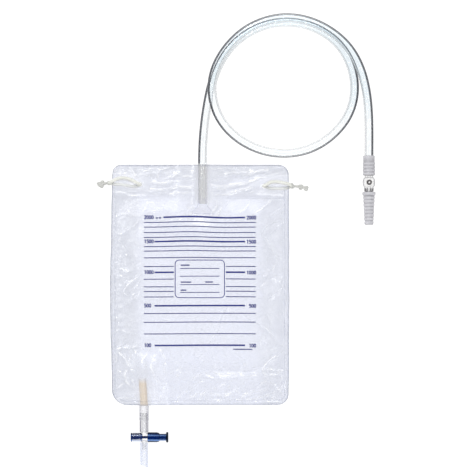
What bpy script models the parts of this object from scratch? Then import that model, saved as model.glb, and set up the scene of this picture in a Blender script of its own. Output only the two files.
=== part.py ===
"""Urine drainage bag: two welded films, an inlet hose with a sampling connector, and a push-pull drain valve.

Metres, +Z up. The bag lies flat on its back film with its header towards +Y. The origin is the middle of the
bag and its outlet, seen from above, on the surface that the bag lies on.
"""

import bmesh
import bpy
import numpy as np
from mathutils import Matrix

# Fits and film
GAP = 0.0003  # left between pieces that touch
SLACK = 0.00015  # more room round a pipe, because the film is faceted there
FILM = 0.00035
BAG_WIDTH = 0.200
BAG_HEIGHT = 0.270
LEFT_BOW = 0.0018  # how far each side edge draws in at its ends
RIGHT_BOW = 0.0008
TOP_LEFT_RADIUS = 0.0095
TOP_RIGHT_RADIUS = 0.0113
BOTTOM_LEFT_RADIUS = 0.0165
BOTTOM_RIGHT_RADIUS = 0.0124
SIDE_WELD = 0.0050
BOTTOM_WELD = 0.0036
HEADER = 0.0365  # top edge to the weld that closes the bag's chamber
CHAMBER_RISE = 0.0030  # how far the slack front film stands up over the chamber
PLATEAU_HALF_WIDTH = 0.0660  # the chamber's level part, which carries the print
PLATEAU_TOP = 0.0560  # both as distances below the top edge
PLATEAU_BOTTOM = 0.2070
HEADER_RISE = 0.0011

# Inlet hose, in the bag's header
INLET_OFFSET = 0.0030  # from the bag's middle
INLET_INSIDE = 0.0441  # top edge to the hose's inner end
HOSE_RADIUS = 0.0050
INLET_HEIGHT = 0.0063
VALVE_FILM = 0.0003
VALVE_OVERLAP = 0.0060
VALVE_FLAP_LENGTH = 0.0114
VALVE_FLAP_HALF_WIDTH = 0.0125
VALVE_FLAP_HALF_HEIGHT = 0.00055

# Hanging holes and their cords
HOLE_RADIUS = 0.0026
LEFT_HOLE_INSET = 0.0327
LEFT_HOLE_DROP = 0.0222
RIGHT_HOLE_INSET = 0.0278
RIGHT_HOLE_DROP = 0.0239
CORD_RADIUS = 0.0014
CORD_LIFT = 0.0038  # how far a strand that passes under the bag lifts both films
CORD_LIFT_REACH = 0.0150

# Outlet: stub, sleeve, valve and spout
OUTLET_INSET = 0.0375  # from the bag's left edge
OUTLET_HEIGHT = 0.0062
OUTLET_DROP = 0.0700  # bottom edge to the spout's tip
STUB_RADIUS = 0.0043
STUB_WALL = 0.0015
STUB_INSIDE = 0.0300
STUB_LEAN = 0.0019
STUB_OUTSIDE = 0.0085
SLEEVE_RADIUS = 0.0056
SLEEVE_LENGTH = 0.0162
VALVE_DROP = 0.0359  # bottom edge to the barrel's axis
BARREL_RADIUS = 0.0050
BARREL_LEFT = 0.0133
BARREL_SHOULDER = 0.0037
BARREL_SPIGOT_RADIUS = 0.00475
BARREL_SPIGOT_END = 0.0080
CAP_RADIUS = 0.0056
CAP_TAPER_START = 0.0148
CAP_RIGHT = 0.0172
CAP_MOUTH_RADIUS = 0.0047
NECK_RADIUS = 0.00495
NECK_CORE_RADIUS = 0.0036
PASSAGE_RADIUS = 0.0025
SPOUT_RADIUS = 0.00415
SPOUT_WALL = 0.0014
SPOUT_SLANT = 0.0034
SPOUT_SAG = 0.0016
SPIGOT_LENGTH = 0.0085
NIPPLE_LENGTH = 0.0080
NIPPLE_WALL = 0.0010
SPOOL_RADIUS = 0.0039
SPOOL_RUNNING_GAP = 0.0003
SPOOL_HEAD = 0.0013
SPOOL_WAIST_RADIUS = 0.00145
SPOOL_WAIST_LEFT = 0.00175
SPOOL_WAIST_RIGHT = 0.0042
SPOOL_TRAVEL = 0.0072
SPOOL_FLANGE = 0.0026
SPOOL_FLANGE_RADIUS = 0.0060
SEAL_RIDGE = 0.00012
SEAL_LENGTH = 0.0012

# Connector on the hose's far end, with the sampling port and the stepped catheter adapter
CONNECTOR_OFFSET = 0.1898  # from the bag's middle
CONNECTOR_END = 0.0675  # the adapter's tip, below the bag's top edge
SLEEVE_TOP = 0.0776  # lengths along the connector, up from the adapter's tip
HOSE_END = 0.0695
SLEEVE_BOTTOM = 0.0553
PORT_HEIGHT = 0.0475
ADAPTER_TOP = 0.0369
ADAPTER_SHOULDER = 0.0328
GRIP_RADIUS = 0.0065
GRIP_RIDGE = 0.00045
GRIP_RIDGES = 4
GRIP_PITCH = 0.0038
BODY_RADIUS = 0.0050
BODY_BORE = 0.0024
THROAT_RADIUS = 0.0046
BULB_RADIUS = 0.0070
BULB_HALF_LENGTH = 0.0056
WAIST_RADIUS = 0.00535
JOINT_RADIUS = 0.0040
JOINT_LENGTH = 0.0050
FLANGE_RADIUS = 0.0074
NOZZLE_TOP_RADIUS = 0.0065
NOZZLE_TIP_RADIUS = 0.00495
NOZZLE_BORE = 0.00265
NOZZLE_STEPS = 8
NOZZLE_STEP_DEPTH = 0.0003
TURRET_RADIUS = 0.0047
TURRET_TOP = 0.0064
TURRET_SEAT = 0.0038
RING_HEIGHT = 0.0020
RING_WALL = 0.0015
SEPTUM_RADIUS = 0.0029
SEPTUM_DISH = 0.0007

# Graduations and writing panel, as distances below the bag's top edge
MAJOR_DROPS = {"2000": 0.0592, "1500": 0.0863, "1000": 0.1209, "500": 0.1584, "100": 0.2030}
MINOR_DROPS = (
    0.0648, 0.0700, 0.0761, 0.0816, 0.0919, 0.0969, 0.1045, 0.1143,
    0.1285, 0.1371, 0.1423, 0.1485, 0.1671, 0.1769, 0.1900,
)  # fmt: skip
MINOR_HALF_LENGTH = 0.0628
MAJOR_HALF_LENGTH = 0.0508
UNIT_MARK_ROOM = 0.0100  # the top line starts later, after its number's unit
MAJOR_WIDTH = 0.0016
MINOR_WIDTH = 0.0009
INK = 0.00015
PRINT_CLEARANCE = 0.0001
PANEL_HALF_WIDTH = 0.0277
PANEL_TOP_DROP = 0.1071
PANEL_BOTTOM_DROP = 0.1494
PANEL_RADIUS = 0.0045
PANEL_CLEAR = 0.0016
WRITING_DROPS = (0.1167, 0.1254, 0.1348, 0.1436)
WRITING_HALF_LENGTH = 0.0221

# Derived places
TOP = (BAG_HEIGHT + OUTLET_DROP) / 2
BOTTOM = TOP - BAG_HEIGHT
HALF_WIDTH = BAG_WIDTH / 2
OUTLET_X = OUTLET_INSET - HALF_WIDTH
BACK_REST = FILM / 2
FRONT_REST = FILM / 2 + FILM + GAP
HALF_PARTING = (FRONT_REST - BACK_REST) / 2
WELD_REACH = 0.0030  # from a pipe's side to the weld beside it
WELD_SPREAD = 0.0220  # over which the films fall back to the surface
INLET_FADE = 0.0320
OUTLET_FADE = 0.0300
VALVE_Y = BOTTOM - VALVE_DROP
CONNECTOR_Y = TOP - CONNECTOR_END
LEFT_HOLE = (LEFT_HOLE_INSET - HALF_WIDTH, TOP - LEFT_HOLE_DROP)
RIGHT_HOLE = (HALF_WIDTH - RIGHT_HOLE_INSET, TOP - RIGHT_HOLE_DROP)
TURNED_STEPS = 20
FLAT_ENOUGH = 0.2  # degrees between neighbouring facets that become one

# Folds in the slack front film: both ends from the bag's middle and below its top edge, height and half width
FOLDS = (
    ((0.0137, 0.0300), (0.0733, 0.0149), 0.0014, 0.0055),
    ((-0.0080, 0.0290), (-0.0561, 0.0149), 0.0012, 0.0055),
    ((-0.0220, 0.2400), (0.0880, 0.2305), 0.0012, 0.0060),
)

# Hose route from inside the header, up and over the loop, round it once and down to the connector
HOSE_ROUTE = (
    (0.0031, 0.1259, 0.0063), (0.0031, 0.1473, 0.0063), (0.0030, 0.1698, 0.0062), (0.0034, 0.1911, 0.0055),
    (0.0051, 0.2136, 0.0051), (0.0083, 0.2367, 0.0051), (0.0134, 0.2603, 0.0051), (0.0222, 0.2834, 0.0051),
    (0.0362, 0.3036, 0.0051), (0.0553, 0.3187, 0.0051), (0.0761, 0.3273, 0.0051), (0.0980, 0.3300, 0.0051),
    (0.1198, 0.3270, 0.0051), (0.1397, 0.3183, 0.0051), (0.1560, 0.3048, 0.0051), (0.1673, 0.2868, 0.0051),
    (0.1731, 0.2665, 0.0051), (0.1730, 0.2457, 0.0051), (0.1669, 0.2263, 0.0051), (0.1554, 0.2098, 0.0051),
    (0.1394, 0.1961, 0.0051), (0.1198, 0.1866, 0.0051), (0.0980, 0.1829, 0.0051), (0.0759, 0.1848, 0.0051),
    (0.0546, 0.1925, 0.0054), (0.0359, 0.2054, 0.0076), (0.0222, 0.2226, 0.0117), (0.0150, 0.2429, 0.0149),
    (0.0143, 0.2637, 0.0154), (0.0204, 0.2839, 0.0155), (0.0334, 0.3036, 0.0155), (0.0519, 0.3201, 0.0155),
    (0.0739, 0.3304, 0.0155), (0.0980, 0.3341, 0.0155), (0.1220, 0.3304, 0.0154), (0.1447, 0.3199, 0.0153),
    (0.1642, 0.3036, 0.0146), (0.1778, 0.2825, 0.0121), (0.1856, 0.2586, 0.0083), (0.1891, 0.2339, 0.0056),
    (0.1900, 0.2091, 0.0055), (0.1899, 0.1866, 0.0071), (0.1898, 0.1720, 0.0074),
)  # fmt: skip
HOSE_POINTS = 72

# Hanging cords. Each strand's points are (x, y), from the knot beside the bag's edge to the hole
LEFT_FRONT_STRAND = ((-0.0991, 0.1510), (-0.0966, 0.1524), (-0.0909, 0.1548), (-0.0831, 0.1549),
                     (-0.0752, 0.1522), (-0.0701, 0.1494))  # fmt: skip
LEFT_BACK_STRAND = ((-0.0994, 0.1489), (-0.0966, 0.1482), (-0.0901, 0.1479), (-0.0815, 0.1468),
                    (-0.0745, 0.1457), (-0.0706, 0.1462))  # fmt: skip
LEFT_KNOTS = (
    ((-0.1024, 0.1495, 0.0031), (0.0023, 0.0023, 0.0023)),
    ((-0.1059, 0.1488, 0.0027), (0.0022, 0.0014, 0.0014)),
    ((-0.1096, 0.1489, 0.0027), (0.0042, 0.0024, 0.0025)),
    ((-0.1100, 0.1471, 0.0026), (0.0040, 0.0023, 0.0025)),
    ((-0.1130, 0.1481, 0.0025), (0.0026, 0.0030, 0.0024)),
)
RIGHT_FRONT_STRAND = ((0.0995, 0.1484), (0.0965, 0.1491), (0.0905, 0.1504), (0.0830, 0.1509),
                      (0.0775, 0.1494), (0.0745, 0.1474))  # fmt: skip
RIGHT_BACK_STRAND = ((0.0997, 0.1446), (0.0965, 0.1438), (0.0905, 0.1433), (0.0830, 0.1434),
                     (0.0775, 0.1440), (0.0750, 0.1449))  # fmt: skip
RIGHT_KNOTS = (
    ((0.1031, 0.1461, 0.0031), (0.0027, 0.0032, 0.0025)),
    ((0.1075, 0.1459, 0.0027), (0.0034, 0.0016, 0.0016)),
    ((0.1133, 0.1451, 0.0029), (0.0031, 0.0031, 0.0027)),
    ((0.1165, 0.1441, 0.0026), (0.0025, 0.0017, 0.0016)),
    ((0.1194, 0.1434, 0.0026), (0.0030, 0.0028, 0.0025)),
)


def smooth_step(t):
    t = np.clip(t, 0.0, 1.0)
    return t * t * (3 - 2 * t)


def hug(offset, radius, weld):
    """Height of a film over a pipe: the pipe's circle, then a straight tangent down to the weld beside it."""
    far = np.abs(offset)
    circle = np.sqrt(np.maximum(radius**2 - far**2, 0))
    tangent = np.maximum(weld - far, 0) * radius / np.sqrt(weld**2 - radius**2)
    return np.maximum(np.where(far < radius**2 / weld, circle, tangent) - HALF_PARTING, 0)


def weld_plane(offset, weld, height):
    """Height of the weld beside a pipe, above where the films part at rest."""
    rise = height - (FRONT_REST + BACK_REST) / 2
    return rise * (1 - smooth_step((np.abs(offset) - weld) / WELD_SPREAD))


def inlet_form(x, drop):
    radius = HOSE_RADIUS + GAP + FILM / 2 + SLACK
    radius = radius + (VALVE_FILM + GAP) * smooth_step((drop - INLET_INSIDE + VALVE_OVERLAP + 0.006) / 0.006)
    weld = radius + WELD_REACH + VALVE_FLAP_HALF_WIDTH * smooth_step((drop - HEADER) / VALVE_FLAP_LENGTH)
    seam = HOSE_RADIUS + GAP + FILM / 2 + SLACK + WELD_REACH
    return weld_plane(x - INLET_OFFSET, seam, INLET_HEIGHT), hug(x - INLET_OFFSET, radius, weld)


def outlet_form(x, climb):
    """The same for the outlet stub, which leans; climb is the height above the bag's bottom edge."""
    radius = STUB_RADIUS + GAP + FILM / 2 + SLACK
    axis = OUTLET_X - STUB_LEAN * np.clip(climb / STUB_INSIDE, 0, 1)
    return weld_plane(x - axis, radius + WELD_REACH, OUTLET_HEIGHT), hug(x - axis, radius, radius + WELD_REACH)


def along(x, y, start, end):
    """Distance from points to a straight line between two ends."""
    start, end = np.array(start), np.array(end)
    run = end - start
    t = np.clip(((x - start[0]) * run[0] + (y - start[1]) * run[1]) / (run @ run), 0, 1)
    return np.hypot(x - start[0] - t * run[0], y - start[1] - t * run[1])


def cord_lift(x, y):
    """Both films ride up over the strand of each hanging cord that passes under the bag."""
    lift = 0
    for hole, side in ((LEFT_HOLE, -1), (RIGHT_HOLE, 1)):
        far = along(x, y, (hole[0] - side * 0.002, hole[1] - 0.001), (side * (HALF_WIDTH + 0.004), hole[1] - 0.0005))
        lift = lift + CORD_LIFT * (1 - smooth_step(far / CORD_LIFT_REACH))
    return lift


def back_height(x, y):
    """Middle of the back film: flat, but wrapped round each pipe at its weld and lifted over the cords."""
    drop, climb = TOP - y, y - BOTTOM
    seam, wrap = inlet_form(x, drop)
    inlet = (1 - smooth_step((drop - HEADER) / 0.010)) * (seam - wrap)
    seam, wrap = outlet_form(x, climb)
    outlet = (1 - smooth_step((climb - 0.006) / 0.010)) * (seam - wrap)
    return BACK_REST + np.maximum(inlet, 0) + np.maximum(outlet, 0) + cord_lift(x, y)


def between(drop, start, level, fall, end):
    """0 at start, 1 from level to fall, and 0 again at end."""
    return smooth_step((drop - start) / (level - start)) * (1 - smooth_step((drop - fall) / (end - fall)))


def slack(x, drop):
    """The loose front film: a level plateau over the chamber, and a low swell across the header."""
    side = HALF_WIDTH - SIDE_WELD
    across = 1 - smooth_step((np.abs(x) - PLATEAU_HALF_WIDTH) / (side - PLATEAU_HALF_WIDTH))
    chamber = CHAMBER_RISE * between(drop, HEADER, PLATEAU_TOP, PLATEAU_BOTTOM, BAG_HEIGHT - BOTTOM_WELD)
    header = HEADER_RISE * between(drop, 0.0, 0.014, 0.020, HEADER)
    return across * (chamber + header)


def front_height(x, y):
    """Middle of the front film: pipes and cords under it, a low dome and the soft folds."""
    drop, climb = TOP - y, y - BOTTOM
    seam, wrap = inlet_form(x, drop)
    inlet = (1 - smooth_step((drop - INLET_INSIDE - 0.002) / INLET_FADE)) * (seam + wrap)
    seam, wrap = outlet_form(x, climb)
    outlet = (1 - smooth_step((climb - STUB_INSIDE - 0.002) / OUTLET_FADE)) * (seam + wrap)
    folds = 0
    for start, end, height, width in FOLDS:
        folds = folds + height * (1 - smooth_step(along(x, drop, start, end) / (2 * width)))
    return FRONT_REST + inlet + outlet + slack(x, drop) + folds + cord_lift(x, y)


def print_height(x, y):
    """Underside of a printed mark. It is straight between the film's rows, as the film itself is."""
    rows = TOP - film_rows()[::-1]
    flat_x, flat_y = np.ravel(x), np.ravel(y)
    middle = [np.interp(b, rows, front_height(a, rows)) for a, b in zip(flat_x, flat_y)]
    return np.reshape(middle, np.shape(x)) + FILM / 2 + GAP + PRINT_CLEARANCE


def corner_inset(depth, radius):
    """How far a rounded corner draws the edge in, at a depth below the straight edge."""
    rest = radius - np.clip(depth, 0, radius)
    return radius - np.sqrt(np.maximum(radius**2 - rest**2, 0))


def film_edges(drop):
    """The bag's left and right edge at a distance below its top edge."""
    climb = BAG_HEIGHT - drop
    bow = (2 * drop / BAG_HEIGHT - 1) ** 2
    left = LEFT_BOW * bow + corner_inset(drop, TOP_LEFT_RADIUS) + corner_inset(climb, BOTTOM_LEFT_RADIUS)
    right = RIGHT_BOW * bow + corner_inset(drop, TOP_RIGHT_RADIUS) + corner_inset(climb, BOTTOM_RIGHT_RADIUS)
    return left - HALF_WIDTH, HALF_WIDTH - right


def spaced(values, least):
    """Sorted values, without those that lie closer than least to the one kept before them."""
    kept = []
    for value in sorted(values):
        if not kept or value - kept[-1] >= least:
            kept.append(value)
    return kept


def film_columns():
    """Columns across the film: close together at the two pipes and the side welds, and wide elsewhere."""
    columns = [-HALF_WIDTH, HALF_WIDTH]
    for centre, radius in ((INLET_OFFSET, HOSE_RADIUS), (OUTLET_X, STUB_RADIUS)):
        reach = radius + GAP + FILM / 2 + SLACK
        weld = reach + WELD_REACH
        for offset in (0.37 * reach, reach**2 / weld, weld, weld + 0.006, weld + 0.013):
            columns += [centre - offset, centre + offset]
        columns.append(centre)
    wide = [*np.linspace(PLATEAU_HALF_WIDTH, HALF_WIDTH - SIDE_WELD, 5), 0.022, 0.033, 0.044, 0.055]
    columns += [x for w in wide for x in (-w, w) if min(abs(x - c) for c in columns) > 0.0040]
    return np.array(spaced(columns, 0.0004))


def film_rows():
    """Distances below the top edge: arcs at the corners, close rows in the header, wide ones below it."""
    turn = 1 - np.cos(np.linspace(0, np.pi / 2, 4))
    top_arc = turn * TOP_RIGHT_RADIUS
    bottom_arc = BAG_HEIGHT - turn * BOTTOM_LEFT_RADIUS
    header = np.arange(TOP_RIGHT_RADIUS + 0.004, HEADER - 0.002, 0.004)
    chamber = np.linspace(HEADER, INLET_INSIDE + 0.002 + INLET_FADE, 9)
    body = np.linspace(chamber[-1], PLATEAU_BOTTOM, 4)[1:]
    foot = np.linspace(PLATEAU_BOTTOM, bottom_arc[-1], 7)[1:-1]
    return np.array(spaced([*top_arc, *header, *chamber, *body, *foot, *bottom_arc], 0.0004))


def film_points(height):
    """The film's grid, a row at a time; near a rounded corner the outer columns close up."""
    columns, drops = film_columns(), film_rows()
    left, right = (edge[:, None] for edge in film_edges(drops))
    margin = 0.0280
    inner_left, inner_right = margin - HALF_WIDTH, HALF_WIDTH - margin
    x = np.broadcast_to(columns, (len(drops), len(columns))).copy()
    from_left = left + (x + HALF_WIDTH) * (inner_left - left) / margin
    from_right = right - (HALF_WIDTH - x) * (right - inner_right) / margin
    x = np.where(x < inner_left, from_left, np.where(x > inner_right, from_right, x))
    y = np.broadcast_to((TOP - drops)[:, None], x.shape)
    return np.stack([x, y, height(x, y)], axis=-1)


def spline_through(points, count):
    """Evenly spaced points on the natural cubic spline through the given points."""
    knots = np.array(points, float)
    at = np.concatenate([[0], np.cumsum(np.linalg.norm(np.diff(knots, axis=0), axis=1))])
    step, size = np.diff(at), len(knots)
    matrix, right = np.eye(size), np.zeros_like(knots)
    for i in range(1, size - 1):
        matrix[i, i - 1 : i + 2] = step[i - 1], 2 * (step[i - 1] + step[i]), step[i]
        right[i] = 6 * ((knots[i + 1] - knots[i]) / step[i] - (knots[i] - knots[i - 1]) / step[i - 1])
    bend = np.linalg.solve(matrix, right)
    x = np.linspace(0, at[-1], 40 * size)
    k = np.clip(np.searchsorted(at, x, side="right") - 1, 0, size - 2)
    after, before, span = (at[k + 1] - x)[:, None], (x - at[k])[:, None], step[k][:, None]
    fine = (bend[k] * after**3 + bend[k + 1] * before**3) / (6 * span)
    fine += (knots[k] / span - bend[k] * span / 6) * after + (knots[k + 1] / span - bend[k + 1] * span / 6) * before
    length = np.concatenate([[0], np.cumsum(np.linalg.norm(np.diff(fine, axis=0), axis=1))])
    even = np.linspace(0, length[-1], count)
    return np.stack([np.interp(even, length, fine[:, axis]) for axis in range(3)], axis=-1)


def new_material(name, colour, roughness, metallic=0.0, alpha=1.0):
    material = bpy.data.materials.new(name)
    material.use_nodes = True
    shader = material.node_tree.nodes["Principled BSDF"]
    shader.inputs["Base Color"].default_value = (*colour, 1.0)
    shader.inputs["Roughness"].default_value = roughness
    shader.inputs["Metallic"].default_value = metallic
    shader.inputs["Alpha"].default_value = alpha
    material.diffuse_color = (*colour, alpha)
    return material


MATERIALS = {
    "film": ((0.83, 0.84, 0.90), 0.28, 0.55),
    "hose": ((0.78, 0.84, 0.86), 0.16, 0.45),
    "valve film": ((0.86, 0.86, 0.88), 0.35, 0.6),
    "yellowed tube": ((0.80, 0.74, 0.62), 0.30, 0.85),
    "clear plastic": ((0.84, 0.85, 0.86), 0.12, 0.5),
    "blue plastic": ((0.01, 0.06, 0.35), 0.25, 1.0),
    "frosted sleeve": ((0.66, 0.66, 0.68), 0.40, 0.8),
    "white plastic": ((0.90, 0.88, 0.86), 0.35, 1.0),
    "grey rubber": ((0.16, 0.14, 0.14), 0.55, 1.0),
    "cream cord": ((0.86, 0.86, 0.79), 0.85, 1.0),
    "blue ink": ((0.06, 0.07, 0.32), 0.50, 1.0),
}


def make_materials():
    return {name: new_material(name, c, r, alpha=a) for name, (c, r, a) in MATERIALS.items()}


class Workshop:
    """The two collections and the materials, and the few ways in which pieces are made."""

    def __init__(self):
        for obj in list(bpy.data.objects):
            bpy.data.objects.remove(obj, do_unlink=True)
        self.parts = self.collection("urine_drainage_bag")
        self.cutters = self.collection("cutters")
        self.materials = make_materials()

    @staticmethod
    def collection(name):
        made = bpy.data.collections.new(name)
        bpy.context.scene.collection.children.link(made)
        return made

    def place(self, name, data, material):
        """A new object: a part where it has a material, and otherwise a hidden cutter."""
        obj = bpy.data.objects.new(name, data)
        if material is None:
            obj.hide_render = True
            obj.display_type = "WIRE"
            self.cutters.objects.link(obj)
        else:
            data.materials.append(self.materials[material])
            self.parts.objects.link(obj)
        return obj

    def surface(self, name, points, material, wall, offset=0.0, closed=False):
        """A grid of points (rows, columns, 3) as an open surface, given its wall by Solidify."""
        rows, columns = points.shape[:2]
        mesh = bpy.data.meshes.new(name)
        bm = bmesh.new()
        bmesh.ops.create_grid(bm, x_segments=columns - 1, y_segments=rows - 1, size=1)
        for vert in bm.verts:
            column = round((vert.co.x + 1) / 2 * (columns - 1))
            row = round((1 - vert.co.y) / 2 * (rows - 1))
            vert.co = points[row, column]
        if closed:
            bmesh.ops.remove_doubles(bm, verts=bm.verts, dist=1e-6)
        bm.to_mesh(mesh)
        bm.free()
        mesh.shade_smooth()
        obj = self.place(name, mesh, material)
        shell = obj.modifiers.new("Wall", "SOLIDIFY")
        shell.thickness = wall
        shell.offset = offset
        return obj

    def turned(self, name, profile, material, location=(0, 0, 0), axis="Z", closed=False):
        """A (radius, height) profile, down its outer side, turned about an axis through location."""
        mesh = bpy.data.meshes.new(name)
        points = [(radius, 0, height) for radius, height in profile]
        edges = [(i, i + 1) for i in range(len(points) - 1)]
        if closed:
            edges.append((len(points) - 1, 0))
        mesh.from_pydata(points, edges, [])
        obj = self.place(name, mesh, material)
        obj.location = location
        if axis == "X":
            obj.rotation_euler = (0, np.pi / 2, 0)
        elif axis == "Y":
            obj.rotation_euler = (-np.pi / 2, 0, 0)
        screw = obj.modifiers.new("Turn", "SCREW")
        screw.steps = TURNED_STEPS
        screw.render_steps = TURNED_STEPS
        screw.use_merge_vertices = True
        screw.merge_threshold = 1e-6
        screw.use_smooth_shade = True
        return obj

    def rod(self, name, points, radius, material, capped=True, resolution=2):
        """A round rod or an open pipe skin along a path, as a mesh."""
        curve = bpy.data.curves.new(name, "CURVE")
        curve.dimensions = "3D"
        curve.bevel_depth = radius
        curve.bevel_resolution = resolution
        curve.use_fill_caps = capped
        path = curve.splines.new("POLY")
        path.points.add(len(points) - 1)
        for point, place in zip(path.points, points):
            point.co = (*place, 1)
        return self.place(name, curve, material)

    def as_mesh(self, source, material):
        """The evaluated curve as a welded mesh object of the same name."""
        bpy.context.view_layer.update()
        graph = bpy.context.evaluated_depsgraph_get()
        mesh = bpy.data.meshes.new_from_object(source.evaluated_get(graph))
        bm = bmesh.new()
        bm.from_mesh(mesh)
        bmesh.ops.remove_doubles(bm, verts=bm.verts, dist=1e-6)
        bm.to_mesh(mesh)
        bm.free()
        name, place = source.name, source.matrix_world.copy()
        bpy.data.objects.remove(source, do_unlink=True)
        mesh.materials.clear()
        obj = self.place(name, mesh, material)
        obj.matrix_world = place
        mesh.shade_smooth()
        return obj

    def pipe(self, name, points, radius, wall, material, resolution=4):
        """A hollow pipe along a path, open at both ends."""
        obj = self.as_mesh(self.rod(name, points, radius, material, False, resolution), material)
        shell = obj.modifiers.new("Wall", "SOLIDIFY")
        shell.thickness = wall
        shell.offset = -1
        return obj

    def cylinder(self, name, radius, start, end, segments=TURNED_STEPS, twist=0.0):
        """A hidden cylinder between two points, for a Boolean. The twist moves its edges off another's."""
        start, end = np.array(start, float), np.array(end, float)
        run = end - start
        mesh = bpy.data.meshes.new(name)
        bm = bmesh.new()
        length = float(np.linalg.norm(run))
        bmesh.ops.create_cone(
            bm, cap_ends=True, segments=segments, radius1=radius, radius2=radius, depth=length
        )
        turn = Matrix.Identity(3)
        if abs(run[0]) > abs(run[2]) and abs(run[0]) > abs(run[1]):
            turn = Matrix.Rotation(np.pi / 2, 3, "Y")
        elif abs(run[1]) > abs(run[2]):
            turn = Matrix.Rotation(-np.pi / 2, 3, "X")
        turn = turn @ Matrix.Rotation(twist, 3, "Z")
        bmesh.ops.transform(bm, matrix=turn.to_4x4(), verts=bm.verts)
        bm.to_mesh(mesh)
        bm.free()
        obj = self.place(name, mesh, None)
        obj.location = (start + end) / 2
        return obj

    def ball(self, name, centre, radii, segments=10):
        """A hidden ellipsoid, for a Boolean."""
        mesh = bpy.data.meshes.new(name)
        bm = bmesh.new()
        bmesh.ops.create_uvsphere(bm, u_segments=segments, v_segments=6, radius=1)
        bmesh.ops.scale(bm, vec=radii, verts=bm.verts)
        bm.to_mesh(mesh)
        bm.free()
        obj = self.place(name, mesh, None)
        obj.location = centre
        return obj

    @staticmethod
    def combine(obj, other, operation):
        step = obj.modifiers.new(f"{operation.title()} {other.name}", "BOOLEAN")
        step.operation = operation
        step.solver = "EXACT"
        step.object = other


def make_films(shop):
    """The two films, welded at their rim in the real bag, with a hanging hole through both on each side."""
    front = shop.surface("front_film", film_points(front_height), "film", FILM)
    back = shop.surface("back_film", film_points(back_height), "film", FILM)
    for film in (front, back):
        merge = film.modifiers.new("Flat areas", "DECIMATE")
        merge.decimate_type = "DISSOLVE"
        merge.angle_limit = np.radians(FLAT_ENOUGH)
        film.modifiers.move(1, 0)
    for side, (x, y) in (("left", LEFT_HOLE), ("right", RIGHT_HOLE)):
        punch = shop.cylinder(f"{side}_hole_punch", HOLE_RADIUS, (x, y, -0.002), (x, y, 0.014), 16)
        shop.combine(front, punch, "DIFFERENCE")
        shop.combine(back, punch, "DIFFERENCE")


def make_hose(shop):
    shop.rod("inlet_hose", spline_through(HOSE_ROUTE, HOSE_POINTS), HOSE_RADIUS, "hose")


def make_non_return_valve(shop):
    """A film sleeve: round where it grips the hose's end, and pressed flat below it so that it shuts itself."""
    length = VALVE_OVERLAP + VALVE_FLAP_LENGTH
    t = np.linspace(0, 1, 8)[:, None]
    flat = smooth_step((t * length - VALVE_OVERLAP) / VALVE_FLAP_LENGTH)
    grip = HOSE_RADIUS + GAP
    half_width = grip + (VALVE_FLAP_HALF_WIDTH - grip) * flat
    half_height = grip + (VALVE_FLAP_HALF_HEIGHT - grip) * flat
    angle = np.linspace(2 * np.pi, 0, 21)[None, :]
    floor = INLET_HEIGHT - grip
    x = INLET_OFFSET + half_width * np.cos(angle)
    y = np.broadcast_to(TOP - INLET_INSIDE + VALVE_OVERLAP - length * t, x.shape)
    z = floor + half_height + half_height * np.sin(angle)
    points = np.stack([x, y, z], axis=-1)
    shop.surface("non_return_valve", points, "valve film", VALVE_FILM, 1.0, closed=True)


def make_hanging_cord(shop, side, hole, front_strand, back_strand, knots):
    """A cord loop through a hole: one strand over the bag, one under it, tied beyond the bag's edge."""
    over = [(x, y, front_height(x, y) + FILM / 2 + GAP + SLACK + CORD_RADIUS) for x, y in front_strand]
    under = [(x, y, CORD_RADIUS + SLACK) for x, y in back_strand]
    outward = -1 if side == "left" else 1
    turn_height = (over[-1][2] + under[-1][2]) / 2
    turn = [(hole[0] - outward * 0.0004, hole[1], turn_height)]
    start = knots[0][0]
    points = spline_through([start, *over, *turn, *under[::-1], (start[0], start[1], start[2] - 0.0006)], 32)
    cord = shop.as_mesh(shop.rod(f"hanging_cord_{side}", points, CORD_RADIUS, "cream cord"), "cream cord")
    for number, (centre, radii) in enumerate(knots):
        shop.combine(cord, shop.ball(f"{side}_knot_{number}", centre, radii), "UNION")


def make_outlet(shop):
    """The stub welded into the bag, and the clear sleeve that joins it to the valve."""
    lean, sink = STUB_LEAN, OUTLET_HEIGHT - STUB_RADIUS - FILM - GAP - SLACK
    route = [
        (OUTLET_X, BOTTOM - STUB_OUTSIDE, OUTLET_HEIGHT),
        (OUTLET_X, BOTTOM, OUTLET_HEIGHT),
        (OUTLET_X - lean * 0.45, BOTTOM + STUB_INSIDE * 0.5, OUTLET_HEIGHT - sink * 0.5),
        (OUTLET_X - lean, BOTTOM + STUB_INSIDE, OUTLET_HEIGHT - sink),
    ]
    shop.pipe("outlet_stub", spline_through(route, 7), STUB_RADIUS, STUB_WALL, "yellowed tube", 3)
    inner = STUB_RADIUS + GAP
    top, end = -GAP, -SLEEVE_LENGTH - GAP
    profile = [(SLEEVE_RADIUS, top), (SLEEVE_RADIUS, end), (inner, end), (inner, top)]
    shop.turned("outlet_sleeve", profile, "clear plastic", (OUTLET_X, BOTTOM, OUTLET_HEIGHT), "Y", True)


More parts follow.
